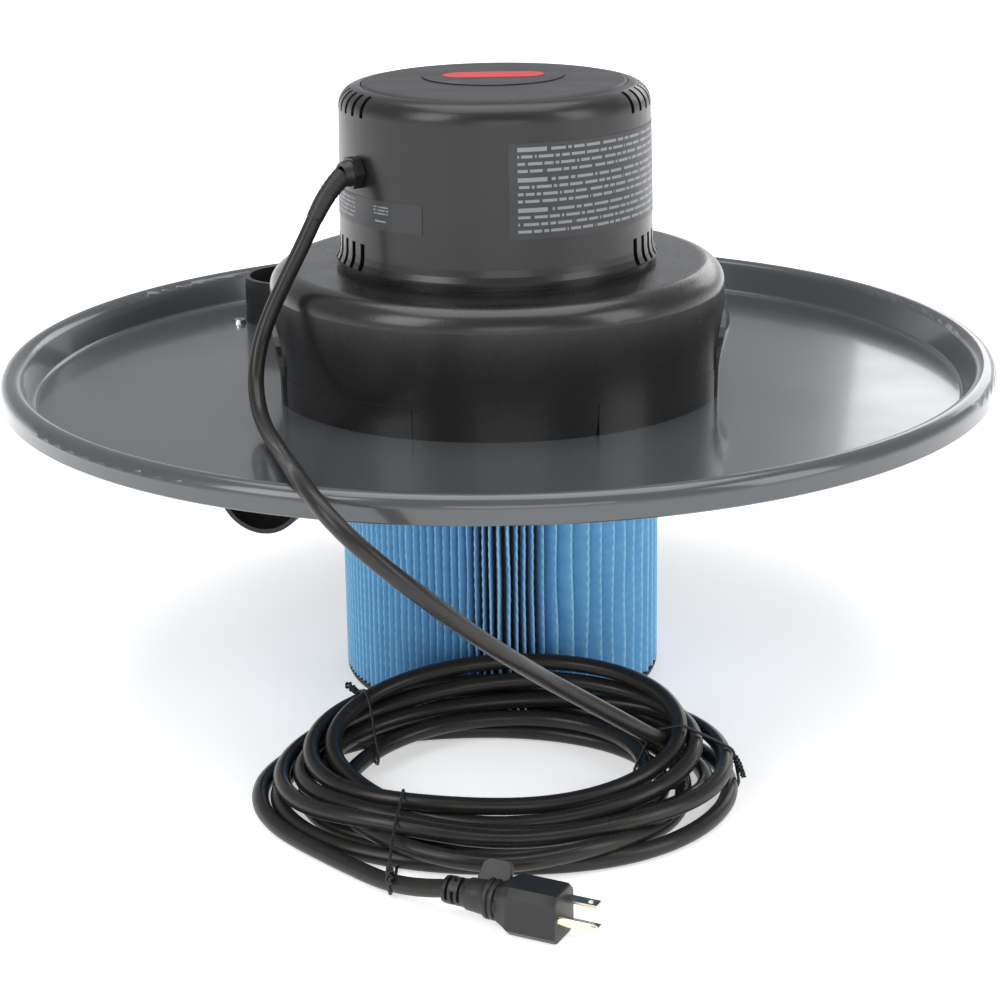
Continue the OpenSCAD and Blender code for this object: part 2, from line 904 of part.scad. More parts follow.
module switch_bezel() {
    color("#19191a")
        translate([0, 0, switch_z])
            difference() {
                union() {
                    translate([-bezel_w / 2, bezel_y, -bezel_h / 2]) cube([bezel_w, bezel_t, bezel_h]);
                    translate([-switch_w / 2, switch_back_y, -switch_h / 2])
                        cube([switch_w, bezel_y - switch_back_y + eps, switch_h]);
                }
                translate([-rocker_w / 2 - gap, rocker_y - well_deep, -rocker_r - well_gap])
                    cube([rocker_w + 2 * gap, through, 2 * (rocker_r + well_gap)]);
                translate([-pin_half - pin_over, rocker_y, 0])
                    rotate([0, 90, 0])
                        cylinder(r = pin_r + run, h = 2 * (pin_half + pin_over), $fn = 24);
            }
}

// A rocker on a cross pin: two flats meeting at a shallow V on its face
module switch_rocker() {
    mirrored = [for (i = [len(rocker_half) - 1 : -1 : 1]) [rocker_half[i][0], -rocker_half[i][1]]];
    color("#a51f24")
        translate([0, rocker_y, switch_z])
            rotate([rocker_throw / 2, 0, 0])
                union() {
                    rotate([90, 0, 90])
                        translate([0, 0, -rocker_w / 2])
                            linear_extrude(rocker_w)
                                polygon(concat(rocker_half, mirrored));
                    translate([-pin_half, 0, 0])
                        rotate([0, 90, 0]) cylinder(r = pin_r, h = 2 * pin_half, $fn = 24);
                }
}

// ---------------------------------------------------------------- float cage and filter

module float_cage() {
    strut_h = cage_seat_z - cage_foot;
    color("#2b2b2d")
        difference() {
            union() {
                ring(cage_flange_r, cage_mouth_r, cage_flange_z, pan_under - cage_flange_z);
                ring(cage_r, cage_r - cage_wall, cage_seat_z, cage_flange_z - cage_seat_z + eps);
                ring(cage_r, cage_seat_r, cage_seat_z, cage_disc_t);
                ring(cage_r, cradle_r, cage_foot, cage_disc_t);
                ring(guide_r + strut_t, cradle_r, float_floor - cage_disc_t - lap, cage_disc_t + lap);
                for (z = cage_hoops) ring(cage_r, cage_r - cage_wall, z, cage_hoop_h);
                around(cage_struts)
                    translate([guide_r, -strut_t / 2, cage_foot])
                        cube([cage_r - guide_r - eps, strut_t, strut_h + eps]);
            }
            around(4, boss_first)
                translate([cage_screw_ring, 0, cage_flange_z - eps])
                    cylinder(r = clear_r, h = pan_under - cage_flange_z + 2 * eps, $fn = 24);
            around(4, boss_first)
                translate([cage_screw_ring, 0, cage_flange_z - eps])
                    cylinder(r = cage_pocket_r, h = cage_pocket + eps, $fn = 32);
        }
}

module cage_screws() {
    color("#c9ccd0")
        around(4, boss_first)
            translate([cage_screw_ring, 0, cage_flange_z + cage_pocket])
                mirror([0, 0, 1])
                    pan_screw(small_head_r, small_head_h, screw_r,
                              pan_z - gap - cage_flange_z - cage_pocket);
}

module float_ball() {
    color("#e8e6df")
        translate([0, 0, float_floor + float_sit + float_rest_gap]) sphere(r = float_r, $fn = 64);
}

module filter_media() {
    color("#5d97bd") ring(filter_r, media_in, cap_t, media_top - cap_t);
}

module filter_core() {
    color("#8f9396")
        difference() {
            ring(core_r + core_t, core_r, cap_t, media_top - cap_t);
            for (z = core_rows)
                around(core_windows)
                    translate([core_r - core_window[0] / 2, -core_window[1] / 2, z]) cube(core_window);
        }
}

module filter_top_ring() {
    color("#1c1c1e") ring(filter_r, cage_r + 2 * gap, media_top, cage_flange_z - media_top);
}

module filter_bottom_cap() {
    color("#1c1c1e")
        union() {
            cylinder(r1 = filter_r - cap_foot_in, r2 = filter_r - cap_in, h = cap_foot_h);
            translate([0, 0, cap_foot_h]) cylinder(r = filter_r - cap_in, h = cap_t - cap_foot_h);
        }
}

// ---------------------------------------------------------------- fan and motor

module motor_gasket() {
    color("#1b1b1c") ring(shell_r, lid_hole_r, pan_z, gasket_t);
}

module fan_shell() {
    color("#a9adb0")
        difference() {
            ring(shell_r, shell_hole_r, shell_z, shell_top - shell_z);
            translate([0, 0, shell_z + sheet]) cylinder(r = shell_r - sheet, h = shell_top - shell_z);
            around(shell_vents)
                translate([shell_r - shell_vent[0] / 2, -shell_vent[1] / 2, shell_z + shell_vent_z])
                    cube(shell_vent);
        }
}

module motor_mount_ring() {
    color("#1b1b1c") ring(shell_r, mount_ring_in, lower_bearing_z, mount_ring_t);
}

module lower_bracket() {
    color("#9da1a4")
        difference() {
            union() {
                ring(shell_r, shaft_hole_r, shell_top, plate_t);
                ring(hub_r, bearing_r, lower_bearing_z - eps, bearing_h + hub_over + eps);
                bracket_posts(lower_bearing_z - eps, post_split_z);
            }
            around(4) plate_window(lower_window_at, lower_window, shell_top);
            motor_bolt_holes(shell_top, post_split_z);
        }
}

// Two posts that clasp the stator from z to z_top
module bracket_posts(z, z_top) {
    intersection() {
        ring(stator_r + post_t, stator_r + post_gap, z, z_top - z);
        translate([-shell_r, -post_w / 2, z]) cube([2 * shell_r, post_w, z_top - z]);
    }
}

// A square window through a bracket's plate whose underside is at z
module plate_window(at, side, z) {
    translate([at, -side / 2, z - eps]) cube([side, side, plate_t + 2 * eps]);
}

module motor_bolt_holes(z, z_top) {
    for (side = [0, 180])
        rotate([0, 0, side])
            translate([post_ring, 0, z - eps]) cylinder(r = bolt_hole_r, h = z_top - z + 2 * eps, $fn = 24);
}

module upper_bracket() {
    color("#9da1a4")
        difference() {
            union() {
                ring(stator_r + post_t, shaft_hole_r, bracket_plate_z, plate_t);
                ring(hub_r, bearing_r, upper_bearing_z - eps, bearing_h + hub_over + eps);
                bracket_posts(post_split_z, bracket_plate_z + eps);
            }
            around(4, 45) plate_window(upper_window_at, upper_window, bracket_plate_z);
            motor_bolt_holes(post_split_z, bracket_plate_z + plate_t);
        }
}

module ball_bearing(z) {
    color("#c2c6ca")
        translate([0, 0, z])
            difference() {
                ring(bearing_r - bearing_fit, shaft_r + run, 0, bearing_h);
                for (face = [-race_deep, bearing_h - race_deep])
                    ring(race_out, race_in, face, 2 * race_deep);
            }
}

module lower_bearing() {
    ball_bearing(lower_bearing_z);
}

module upper_bearing() {
    ball_bearing(upper_bearing_z);
}

// A part of a ring between two angles
module sector(r_out, r_in, middle, half) {
    intersection() {
        annulus(r_out, r_in);
        polygon(concat([[0, 0]],
                       [for (a = [middle - half, middle, middle + half])
                           3 * r_out * [cos(a), sin(a)]]));
    }
}

module stator_core() {
    color("#6f7377")
        translate([0, 0, stator_z])
            linear_extrude(stator_h)
                difference() {
                    circle(r = stator_r);
                    circle(r = stator_bore);
                    for (pole = [90, 270])
                        for (side = [-1, 1])
                            sector(coil_out + gap, coil_in - gap, pole + side * coil_side_turn,
                                   coil_side_half + 1);
                }
}

module field_coils() {
    color("#b5652b")
        for (pole = [90, 270]) {
            for (side = [-1, 1])
                translate([0, 0, stator_z - coil_end_h])
                    linear_extrude(stator_h + 2 * coil_end_h)
                        sector(coil_out, coil_in, pole + side * coil_side_turn, coil_side_half);
            for (z = [stator_z - coil_end_h, stator_z + stator_h + gap])
                translate([0, 0, z])
                    linear_extrude(coil_end_h - gap) sector(coil_out, coil_in, pole, coil_end_half);
        }
}

module brush_holders() {
    color("#c2a14e")
        for (side = [0, 180])
            rotate([0, 0, side])
                translate([holder_at, -holder_size[1] / 2, bracket_plate_z - holder_size[2]])
                    difference() {
                        cube(holder_size);
                        translate([-eps, holder_wall, holder_wall])
                            cube(holder_size + [2 * eps, -2 * holder_wall, -2 * holder_wall]);
                    }
}

module brushes() {
    color("#2a2a2a")
        for (side = [0, 180])
            rotate([0, 0, side])
                translate([commutator_r + brush_gap, -brush_size[1] / 2,
                           bracket_plate_z - holder_wall - brush_size[2] - brush_slack])
                    cube(brush_size);
}

module brush_springs() {
    color("#8b9094")
        for (side = [0, 180])
            rotate([0, 0, side])
                translate([commutator_r + brush_gap + brush_size[0] + spring_wire, 0,
                           bracket_plate_z - holder_size[2] / 2])
                    rotate([0, 90, 0])
                        tube([for (k = [0 : 12 * spring_turns])
                                  [spring_r * cos(30 * k), spring_r * sin(30 * k),
                                   spring_h * k / 12 / spring_turns]],
                             [for (k = [0 : 12 * spring_turns]) spring_wire / 2], 6);
}

module motor_bolts() {
    color("#c9ccd0")
        for (side = [0, 180])
            rotate([0, 0, side])
                translate([post_ring, 0, bracket_plate_z + plate_t])
                    pan_screw(bolt_head_r, bolt_head_h, bolt_r, bracket_plate_z + plate_t - shell_top);
}

module motor_shaft() {
    color("#c2c6ca") translate([0, 0, shaft_z]) cylinder(r = shaft_r, h = shaft_h, $fn = 48);
}

// One of the rotor's stacked pieces, bored to press on the shaft
module on_shaft(r, z, h) {
    ring(r, shaft_r + shaft_fit, z, h);
}

module armature_core() {
    color("#6f7377")
        difference() {
            on_shaft(armature_r, stator_z + armature_in, stator_h - 2 * armature_in);
            around(armature_slots)
                translate([armature_slot[0], -armature_slot[2] / 2, stator_z])
                    cube([armature_slot[1], armature_slot[2], stator_h]);
        }
}

module armature_windings() {
    color("#b5652b")
        union() {
            on_shaft(winding_r, stator_z - winding_over, winding_over + winding_in);
            on_shaft(winding_r, stator_z + stator_h - winding_in, winding_over);
            around(armature_slots)
                translate([winding_bar[0], -winding_bar[2] / 2, stator_z - winding_over / 2])
                    cube([winding_bar[1], winding_bar[2], stator_h + winding_over / 2]);
        }
}

module commutator() {
    color("#b87b3f")
        difference() {
            on_shaft(commutator_r, commutator_z, commutator_h);
            around(commutator_bars)
                translate([commutator_r - bar_gap_deep, -bar_gap / 2, commutator_z - eps])
                    cube([2 * bar_gap_deep, bar_gap, commutator_h + 2 * eps]);
        }
}

module cooling_fan() {
    color("#2f2f31")
        union() {
            on_shaft(fan_r, fan_z, fan_disc_t);
            on_shaft(fan_hub_r, fan_z, fan_hub_h);
            around(fan_blades)
                translate([fan_hub_r - eps, -fan_blade[1] / 2, fan_z + fan_disc_t - eps]) cube(fan_blade);
        }
}

module impeller() {
    color("#b4b8bb")
        union() {
            on_shaft(impeller_r, impeller_top_z, impeller_disc_t);
            ring(impeller_r, impeller_eye, impeller_low_z, impeller_disc_t);
            on_shaft(impeller_hub_r, impeller_hub_z, impeller_top_z - impeller_hub_z + eps);
            around(impeller_blades)
                translate([0, 0, impeller_low_z + impeller_disc_t - eps])
                    linear_extrude(impeller_top_z - impeller_low_z - impeller_disc_t + 2 * eps) blade();
        }
}

// One backward-curved blade: half of a round band between the eye and the rim
module blade() {
    intersection() {
        annulus(impeller_r - blade_in, impeller_eye + blade_in);
        translate([blade_centre, 0]) annulus(blade_r + blade_t / 2, blade_r - blade_t / 2);
        translate([0, -2 * impeller_r]) square(2 * impeller_r);
    }
}

module impeller_nut() {
    color("#c9ccd0")
        translate([0, 0, impeller_nut_z])
            difference() {
                cylinder(r = impeller_nut_r, h = impeller_nut_h, $fn = 6);
                translate([0, 0, -eps])
                    cylinder(r = shaft_r + shaft_fit, h = impeller_nut_h + 2 * eps, $fn = 48);
            }
}

// ---------------------------------------------------------------- leads inside the motor housing

// From the gland round to the switch, inside the wall
module supply_leads() {
    color("#202022")
        for (side = [-1, 1])
            tube([for (k = [0 : supply_steps])
                      let (t = k / supply_steps,
                           a = gland_turn - t * supply_turn,
                           r = supply_ring - supply_in * t - supply_sag * sin(180 * t))
                      [r * cos(a), r * sin(a), gland_z + side * supply_spread - supply_drop * t]],
                 [for (k = [0 : supply_steps]) lead_r]);
}

// From the switch down to the two brush holders
module motor_leads() {
    color("#8c2a2a")
        for (side = [-1, 1])
            tube([for (k = [0 : motor_lead_steps])
                      let (t = k / motor_lead_steps,
                           a = 90 - side * (motor_lead_from + motor_lead_turn * t),
                           r = motor_lead_ring - motor_lead_in * t * t)
                      [r * cos(a), r * sin(a),
                       motor_lead_z - motor_lead_drop * t - motor_lead_sag * sin(180 * t)]],
                 [for (k = [0 : motor_lead_steps]) lead_r]);
}

// ---------------------------------------------------------------- cord

module cord_tube() {
    n = len(route);
    color("#1d1d1e")
        tube([for (i = [boot_points : n - 1]) route[i]], [for (i = [boot_points : n - 1]) cord_d / 2]);
}

module cord_tail() {
    color("#1d1d1e") tube(tail, [for (p = tail) cord_d / 2]);
}

// Blend between the coil's front and back values, 0 at the front, 1 at the back
function back_share(a) = (1 + sin(a)) / 2;
function outline_r(a, side, front, back) =
    let (depth = sin(a) > 0 ? back : front) side * depth / norm([depth * cos(a), side * sin(a)]);
function coil_h(a) = coil_h_front + (coil_h_back - coil_h_front) * back_share(a);

// A sine or cosine pushed outwards, which turns a circle into a rounded square
function squared(v) = sign(v) * pow(abs(v), coil_square);

// The coil's section at an angle: a flattened round between its hole and its outline
function coil_section(a, grow = 0) =
    let (r_out = outline_r(a, coil_side, coil_front, coil_back),
         r_in = outline_r(a, hole_side, hole_front, hole_back),
         half_w = (r_out - r_in) / 2,
         half_h = coil_h(a) / 2)
    [for (k = [0 : 11])
        let (b = 30 * k,
             r = (r_in + r_out) / 2 + (half_w + grow) * squared(cos(b)),
             z = half_h + (half_h + (sin(b) > 0 ? grow : -grow - coil_lift)) * squared(sin(b)))
        [coil_at[0] + r * cos(a), coil_at[1] + r * sin(a), z]];

module cord_coil() {
    color("#1d1d1e") band([for (a = [0 : 10 : 350]) coil_section(a)]);
}

// A wire tie round the coil at an angle
module coil_tie(a) {
    loop = coil_section(a, tie_d / 2);
    n = len(loop);
    along = [-sin(a), cos(a), 0];
    color("#0f0f10")
        band([for (i = [0 : n - 1])
            let (t = unit(loop[(i + 1) % n] - loop[(i + n - 1) % n]), s = cross(t, along))
            [for (k = [0 : 5]) loop[i] + tie_d / 2 * (cos(60 * k) * s + sin(60 * k) * along)]]);
}

module coil_tie_front() {
    coil_tie(tie_front_turn);
}

module coil_tie_left() {
    coil_tie(tie_left_turn);
}

module coil_tie_right() {
    coil_tie(tie_right_turn);
}

// ---------------------------------------------------------------- plug

// The plug's own frame: X out of its face, Z up, its face at x = 0
module plug_place() {
    translate(plug_at) rotate([0, 0, plug_turn]) children();
}

module plug_body() {
    neck_x = eps - plug_block_size[0] - plug_neck_size[0];
    collar_x = neck_x + eps - collar_l;
    flare_x = collar_x + eps - flare_l;
    relief_x = flare_x + eps - relief_l;
    color("#1b1b1c")
        plug_place()
            difference() {
                union() {
                    translate([-plug_block_size[0], 0, 0]) plug_block(plug_block_size);
                    translate([neck_x, 0, 0]) plug_block(plug_neck_size);
                    translate([collar_x, 0, 0])
                        rotate([0, 90, 0]) cylinder(r = collar_r, h = collar_l, $fn = 48);
                    translate([flare_x, 0, 0])
                        rotate([0, 90, 0])
                            cylinder(r1 = flare_r[0], r2 = flare_r[1], h = flare_l, $fn = 48);
                    translate([relief_x, 0, 0])
                        rotate([0, 90, 0]) cylinder(r = relief_r, h = relief_l, $fn = 48);
                    translate(wing_at) rotate([wing_lean, 0, 0]) cube(wing_size);
                }
                for (x = relief_slots)
                    translate([x, 0, 0])
                        rotate([0, 90, 0]) ring(collar_r, relief_slot_r, 0, relief_slot_w);
            }
}

// A block with its long edges cut back, along X; size is its length and half its width and height
module plug_block(size) {
    y = size[1];
    z = size[2];
    c = plug_cut;
    rotate([90, 0, 90])
        linear_extrude(size[0])
            polygon([[-y, c - z], [c - y, -z], [y - c, -z], [y, c - z],
                     [y, z - c], [y - c, z], [c - y, z], [-y, z - c]]);
}

module plug_blades() {
    color("#c8b98a")
        plug_place()
            for (side = [-1, 1])
                difference() {
                    translate([0, blade_low, side * blade_half_gap - blade_size[2] / 2]) cube(blade_size);
                    translate([blade_hole_x, blade_low + blade_size[1] / 2, side * blade_half_gap])
                        cylinder(r = blade_hole_r, h = 2 * blade_size[2], center = true, $fn = 24);
                }
}

module plug_ground_pin() {
    color("#d8cdb4")
        plug_place()
            translate([0, ground_y, 0]) {
                rotate([0, 90, 0]) cylinder(r = ground_r, h = ground_l, $fn = 32);
                translate([ground_l, 0, 0])
                    rotate([0, 90, 0]) cylinder(r1 = ground_r, r2 = ground_tip_r, h = ground_r, $fn = 32);
            }
}

// ---------------------------------------------------------------- nodes

drum_lid();
rim_gasket();
lower_housing();
motor_housing();
top_cap();
badge();
badge_inlay();
caution_label();
rating_label();
gland_nut();
gland_body();
cord_boot();
inlet_tube();
inlet_elbow();
inlet_screws();
inlet_nuts();
housing_screws();
motor_housing_screws();
switch_bezel();
switch_rocker();
float_cage();
cage_screws();
float_ball();
filter_media();
filter_core();
filter_top_ring();
filter_bottom_cap();
motor_gasket();
fan_shell();
motor_mount_ring();
lower_bracket();
upper_bracket();
lower_bearing();
upper_bearing();
stator_core();
field_coils();
brush_holders();
brushes();
brush_springs();
motor_bolts();
motor_shaft();
armature_core();
armature_windings();
commutator();
cooling_fan();
impeller();
impeller_nut();
supply_leads();
motor_leads();
cord_tube();
cord_coil();
cord_tail();
coil_tie_front();
coil_tie_left();
coil_tie_right();
plug_body();
plug_blades();
plug_ground_pin();
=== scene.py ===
"""A drum-top dust collector: its looks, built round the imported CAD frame. Units are metres."""

import math
import random

import bmesh
import bpy
import numpy as np
from mathutils import Matrix, Vector

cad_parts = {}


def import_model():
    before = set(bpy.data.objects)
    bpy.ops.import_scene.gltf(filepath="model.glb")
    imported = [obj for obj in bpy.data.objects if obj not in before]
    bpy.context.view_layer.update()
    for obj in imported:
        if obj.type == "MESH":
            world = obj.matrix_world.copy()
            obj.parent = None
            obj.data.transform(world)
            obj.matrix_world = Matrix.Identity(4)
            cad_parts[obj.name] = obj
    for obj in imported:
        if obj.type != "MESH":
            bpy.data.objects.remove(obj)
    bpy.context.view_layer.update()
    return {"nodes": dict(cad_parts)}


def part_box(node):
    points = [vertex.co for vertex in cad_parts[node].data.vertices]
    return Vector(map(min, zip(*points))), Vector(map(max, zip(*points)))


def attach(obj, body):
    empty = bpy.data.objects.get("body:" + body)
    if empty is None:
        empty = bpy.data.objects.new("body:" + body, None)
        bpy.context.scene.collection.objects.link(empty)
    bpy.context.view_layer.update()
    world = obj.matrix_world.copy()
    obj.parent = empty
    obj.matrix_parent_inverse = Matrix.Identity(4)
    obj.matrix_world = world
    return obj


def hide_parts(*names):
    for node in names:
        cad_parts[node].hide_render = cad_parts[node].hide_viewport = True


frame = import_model()
MM = 0.001


# ------------------------------------------------------------------ places and sizes

MEDIA_LOW, MEDIA_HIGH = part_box("filter_media")
CORD_D = 9.5 * MM
CORD_R = CORD_D / 2

# The cord's route from the gland to the coil, and from the coil to the plug, as in the CAD source
ROUTE_MM = [
    (-91, -52, 326), (-98, -56, 319), (-105, -60, 309), (-110, -63, 298),
    (-116, -65, 286), (-122, -67, 273), (-129, -69, 261), (-136, -72, 249),
    (-141, -76, 236), (-144, -80, 223), (-144.8, -88, 210.5), (-143.2, -100, 200.5),
    (-138.4, -118, 194.4), (-132.4, -141, 191.6), (-126.5, -166, 191.6), (-122.1, -190, 194),
    (-119.2, -212, 198.2), (-116.7, -234, 203.2), (-114.2, -257, 208.5),
    (-111.2, -279, 212.6), (-104.2, -300, 210), (-96.4, -314, 204.4), (-87, -323, 196.4),
    (-75.8, -327, 186.2), (-57, -325, 170), (-35, -311, 146), (-16, -295, 125),
    (7, -270, 100), (33, -239, 71), (58, -217, 47), (80, -206, 31),
]
# Where the free stretch swings round into the first turn
JOINT_MM = [(97, -195, 20), (111, -174, 15)]
TAIL_MM = [(-104, -281, 5), (-87, -306, 5), (-71, -321, 6), (-55, -335, 9), (-40, -345, 13.2)]

# The coil's centre as in the CAD source, and the half widths the turns are wound to, up to 3 mm over the CAD's
COIL_AT = np.array([-10.0, -205.0]) * MM
COIL_SIDE, COIL_FRONT, COIL_BACK = 140 * MM, 120 * MM, 99 * MM
HOLE_SIDE, HOLE_FRONT, HOLE_BACK = 73 * MM, 50 * MM, 58 * MM
COIL_H_FRONT, COIL_H_BACK = 25 * MM, 50 * MM
FILTER_R = MEDIA_HIGH.x

PLUG_AT = Vector((18, -376, 13.2)) * MM
PLUG_TURN = math.radians(-28)

FLOOR_HALF = 30
FLOOR_DROP = 0.0003
# The floor's glow is weakest, as a painted shade, round a point this far behind the part's axis
PAINTED_SHADE_BACK = 0.2
PLASTIC_IOR = 1.45


def metres(points):
    return [Vector(p) * MM for p in points]


def add_object(name, data):
    made = bpy.data.objects.new(name, data)
    bpy.context.collection.objects.link(made)
    return made


# ------------------------------------------------------------------ camera, light and floor


def make_camera():
    """The camera stands in front of the part, turned, pitched down and rolled a little."""
    pitch, roll, turn = math.radians(15.779), math.radians(-0.823), math.radians(1.65)
    forward = Vector((math.sin(turn) * math.cos(pitch), math.cos(turn) * math.cos(pitch), -math.sin(pitch)))
    level = forward.cross(Vector((0, 0, 1))).normalized()
    upright = level.cross(forward)
    right = level * math.cos(roll) + upright * math.sin(roll)
    up = upright * math.cos(roll) - level * math.sin(roll)
    data = bpy.data.cameras.new("camera")
    data.sensor_width = 36
    data.lens = 86.1
    data.shift_x = 0.0012
    data.shift_y = -0.0929
    camera = add_object("camera", data)
    axes = Matrix((right, up, -forward)).transposed().to_4x4()
    camera.matrix_world = Matrix.Translation((-0.0416, -1.4429, 0.5757)) @ axes
    bpy.context.scene.camera = camera


def area_light(name, place, target, size, power):
    data = bpy.data.lights.new(name, "AREA")
    data.shape = "RECTANGLE"
    data.size, data.size_y = size
    data.energy = power
    light = add_object(name, data)
    light.location = place
    light.rotation_euler = (Vector(target) - Vector(place)).to_track_quat("-Z", "Y").to_euler()


def make_studio():
    """Soft boxes over a white sweep that glows and brightens away from the part; its weaker glow near the part
    is painted shade.
    """
    scene = bpy.context.scene
    scene.view_settings.view_transform = "Standard"
    world = bpy.data.worlds.new("studio")
    world.use_nodes = True
    tree = world.node_tree
    sky = tree.nodes["Background"]
    sky.inputs["Color"].default_value = (0.95, 0.97, 1, 1)
    # A white band along the horizon, where the sweep goes over into the room
    split = tree.nodes.new("ShaderNodeSeparateXYZ")
    tree.links.new(tree.nodes.new("ShaderNodeTexCoord").outputs["Generated"], split.inputs[0])
    band = tree.nodes.new("ShaderNodeMapRange")
    tree.links.new(split.outputs["Z"], band.inputs["Value"])
    for key, number in (("From Min", 0.1), ("From Max", 0.2), ("To Min", 1.05), ("To Max", 0.48)):
        band.inputs[key].default_value = number
    tree.links.new(band.outputs["Result"], sky.inputs["Strength"])
    scene.world = world
    middle = (0, 0, 0.2)
    area_light("key_left", (-1.9, -1.5, 1.7), middle, (1.2, 1.8), 33)
    area_light("fill_right", (2.1, -1.1, 1.3), middle, (1.0, 1.8), 20)
    area_light("top", (0, 0.1, 2.6), middle, (2.6, 2.2), 51)
    area_light("front_low", (0.2, -2.6, 0.75), (0, -0.2, 0.05), (1.6, 0.7), 8)
    area_light("rim_back", (1.5, 2.4, 1.1), middle, (1.8, 0.9), 12)
    floor = add_object("floor", bpy.data.meshes.new("floor"))
    corners = [(x * FLOOR_HALF, y * FLOOR_HALF, 0) for x, y in ((-1, -1), (1, -1), (1, 1), (-1, 1))]
    floor.data.from_pydata(corners, [], [(0, 1, 2, 3)])
    floor.location.z = -FLOOR_DROP
    g = Graph("floor_painted_shade", (0.88, 0.88, 0.88), 0.7)
    # Painted shade: the floor's glow is weaker near the part and stronger away from it
    away = g.axis_distance(PAINTED_SHADE_BACK)
    g.set(Emission_Color=(1, 1, 1, 1), Emission_Strength=g.spread(away, 0.25, 1.05, 0.4, 0.85))
    floor.data.materials.append(g.material)


# ------------------------------------------------------------------ materials


class Graph:
    """One procedural material: a Principled shader with its colour, roughness and bump from nodes."""

    def __init__(self, name, colour, roughness, metallic=0.0):
        self.material = bpy.data.materials.new(name)
        self.material.use_nodes = True
        self.tree = self.material.node_tree
        self.shader = self.tree.nodes["Principled BSDF"]
        self.shader.inputs["Base Color"].default_value = (*colour, 1)
        self.shader.inputs["Roughness"].default_value = roughness
        self.shader.inputs["Metallic"].default_value = metallic
        self.shader.inputs["IOR"].default_value = PLASTIC_IOR
        self.place = self.node("ShaderNodeTexCoord").outputs["Object"]

    def node(self, kind, props=(), **inputs):
        made = self.tree.nodes.new(kind)
        for key, value in dict(props).items():
            setattr(made, key, value)
        for key, value in inputs.items():
            self.feed(made.inputs[key.replace("_", " ")], value)
        return made

    def feed(self, socket, value):
        if isinstance(value, bpy.types.NodeSocket):
            self.tree.links.new(value, socket)
        else:
            socket.default_value = value

    def math(self, operation, a, b=0.0):
        made = self.node("ShaderNodeMath", {"operation": operation})
        self.feed(made.inputs[0], a)
        self.feed(made.inputs[1], b)
        return made.outputs[0]

    def axis_distance(self, back=0.0):
        """Distance from the part's axis, or from a line parallel to it and further back."""
        split = self.node("ShaderNodeSeparateXYZ", Vector=self.place)
        x, y = split.outputs["X"], self.math("SUBTRACT", split.outputs["Y"], back)
        return self.math("SQRT", self.math("ADD", self.math("MULTIPLY", x, x), self.math("MULTIPLY", y, y)))

    def noise(self, scale, detail=3.0, roughness=0.5, place=None):
        made = self.node("ShaderNodeTexNoise", Scale=scale, Detail=detail, Roughness=roughness)
        self.feed(made.inputs["Vector"], place or self.place)
        return made.outputs["Fac"]

    def spread(self, value, low, high, to_low=0.0, to_high=1.0):
        made = self.node("ShaderNodeMapRange", Value=value)
        for key, number in (("From Min", low), ("From Max", high), ("To Min", to_low), ("To Max", to_high)):
            made.inputs[key].default_value = number
        return made.outputs["Result"]

    def mix(self, share, a, b):
        made = self.node("ShaderNodeMix", {"data_type": "RGBA"})
        self.feed(made.inputs["Factor"], share)
        self.feed(made.inputs["A"], (*a, 1) if isinstance(a, tuple) else a)
        self.feed(made.inputs["B"], (*b, 1) if isinstance(b, tuple) else b)
        return made.outputs["Result"]

    def bump(self, height, strength, distance):
        made = self.node("ShaderNodeBump", Height=height, Strength=strength, Distance=distance)
        chained = self.shader.inputs["Normal"].links
        if chained:
            self.tree.links.new(chained[0].from_socket, made.inputs["Normal"])
        self.tree.links.new(made.outputs["Normal"], self.shader.inputs["Normal"])

    def set(self, **inputs):
        for key, value in inputs.items():
            self.feed(self.shader.inputs[key.replace("_", " ")], value)


def shade(colour, factor):
    return tuple(min(1.0, c * factor) for c in colour)


def moulded(name, colour, roughness, grain=0.0004, grain_scale=1600, mottle=0.12, coat=0.0):
    """Moulded plastic or rubber: a fine grain, soft flow marks, and roughness that varies a little."""
    g = Graph(name, colour, roughness)
    flow = g.noise(9, 4)
    fine = g.noise(grain_scale, 2)
    g.set(Base_Color=g.mix(flow, shade(colour, 1 - mottle), shade(colour, 1 + mottle)))
    g.set(Roughness=g.spread(g.noise(38, 5), 0.3, 0.7, roughness * 0.9, roughness * 1.12))
    g.bump(fine, 0.2, grain)
    g.bump(g.noise(13, 1), 0.05, 0.0004)
    g.set(Coat_Weight=coat, Coat_Roughness=0.12)
    return g.material


def metal(name, colour, roughness, scratches=220, stretch=(1, 1, 12)):
    """Bare or plated metal with fine drawn marks."""
    g = Graph(name, colour, roughness, metallic=1.0)
    scale = g.node("ShaderNodeMapping")
    g.feed(scale.inputs["Vector"], g.place)
    scale.inputs["Scale"].default_value = stretch
    marks = g.noise(scratches, 4, place=scale.outputs["Vector"])
    g.set(Roughness=g.spread(marks, 0.25, 0.75, roughness * 0.75, roughness * 1.3))
    g.set(Base_Color=g.mix(g.noise(60, 3), shade(colour, 0.86), shade(colour, 1.08)))
    g.bump(marks, 0.15, 0.0001)
    return g.material


def lid_enamel():
    """Baked enamel on pressed steel: orange peel, a slow wave and a gloss that varies."""
    colour = (0.05, 0.056, 0.06)
    g = Graph("lid_enamel", colour, 0.24)
    g.set(Base_Color=g.mix(g.noise(5, 3), shade(colour, 0.93), shade(colour, 1.07)))
    g.set(Roughness=g.spread(g.noise(14, 5), 0.3, 0.7, 0.18, 0.27))
    g.bump(g.noise(420, 2), 0.04, 0.0002)
    g.bump(g.noise(5, 1), 0.05, 0.0005)
    g.set(Coat_Weight=0.5, Coat_Roughness=0.09)
    return g.material


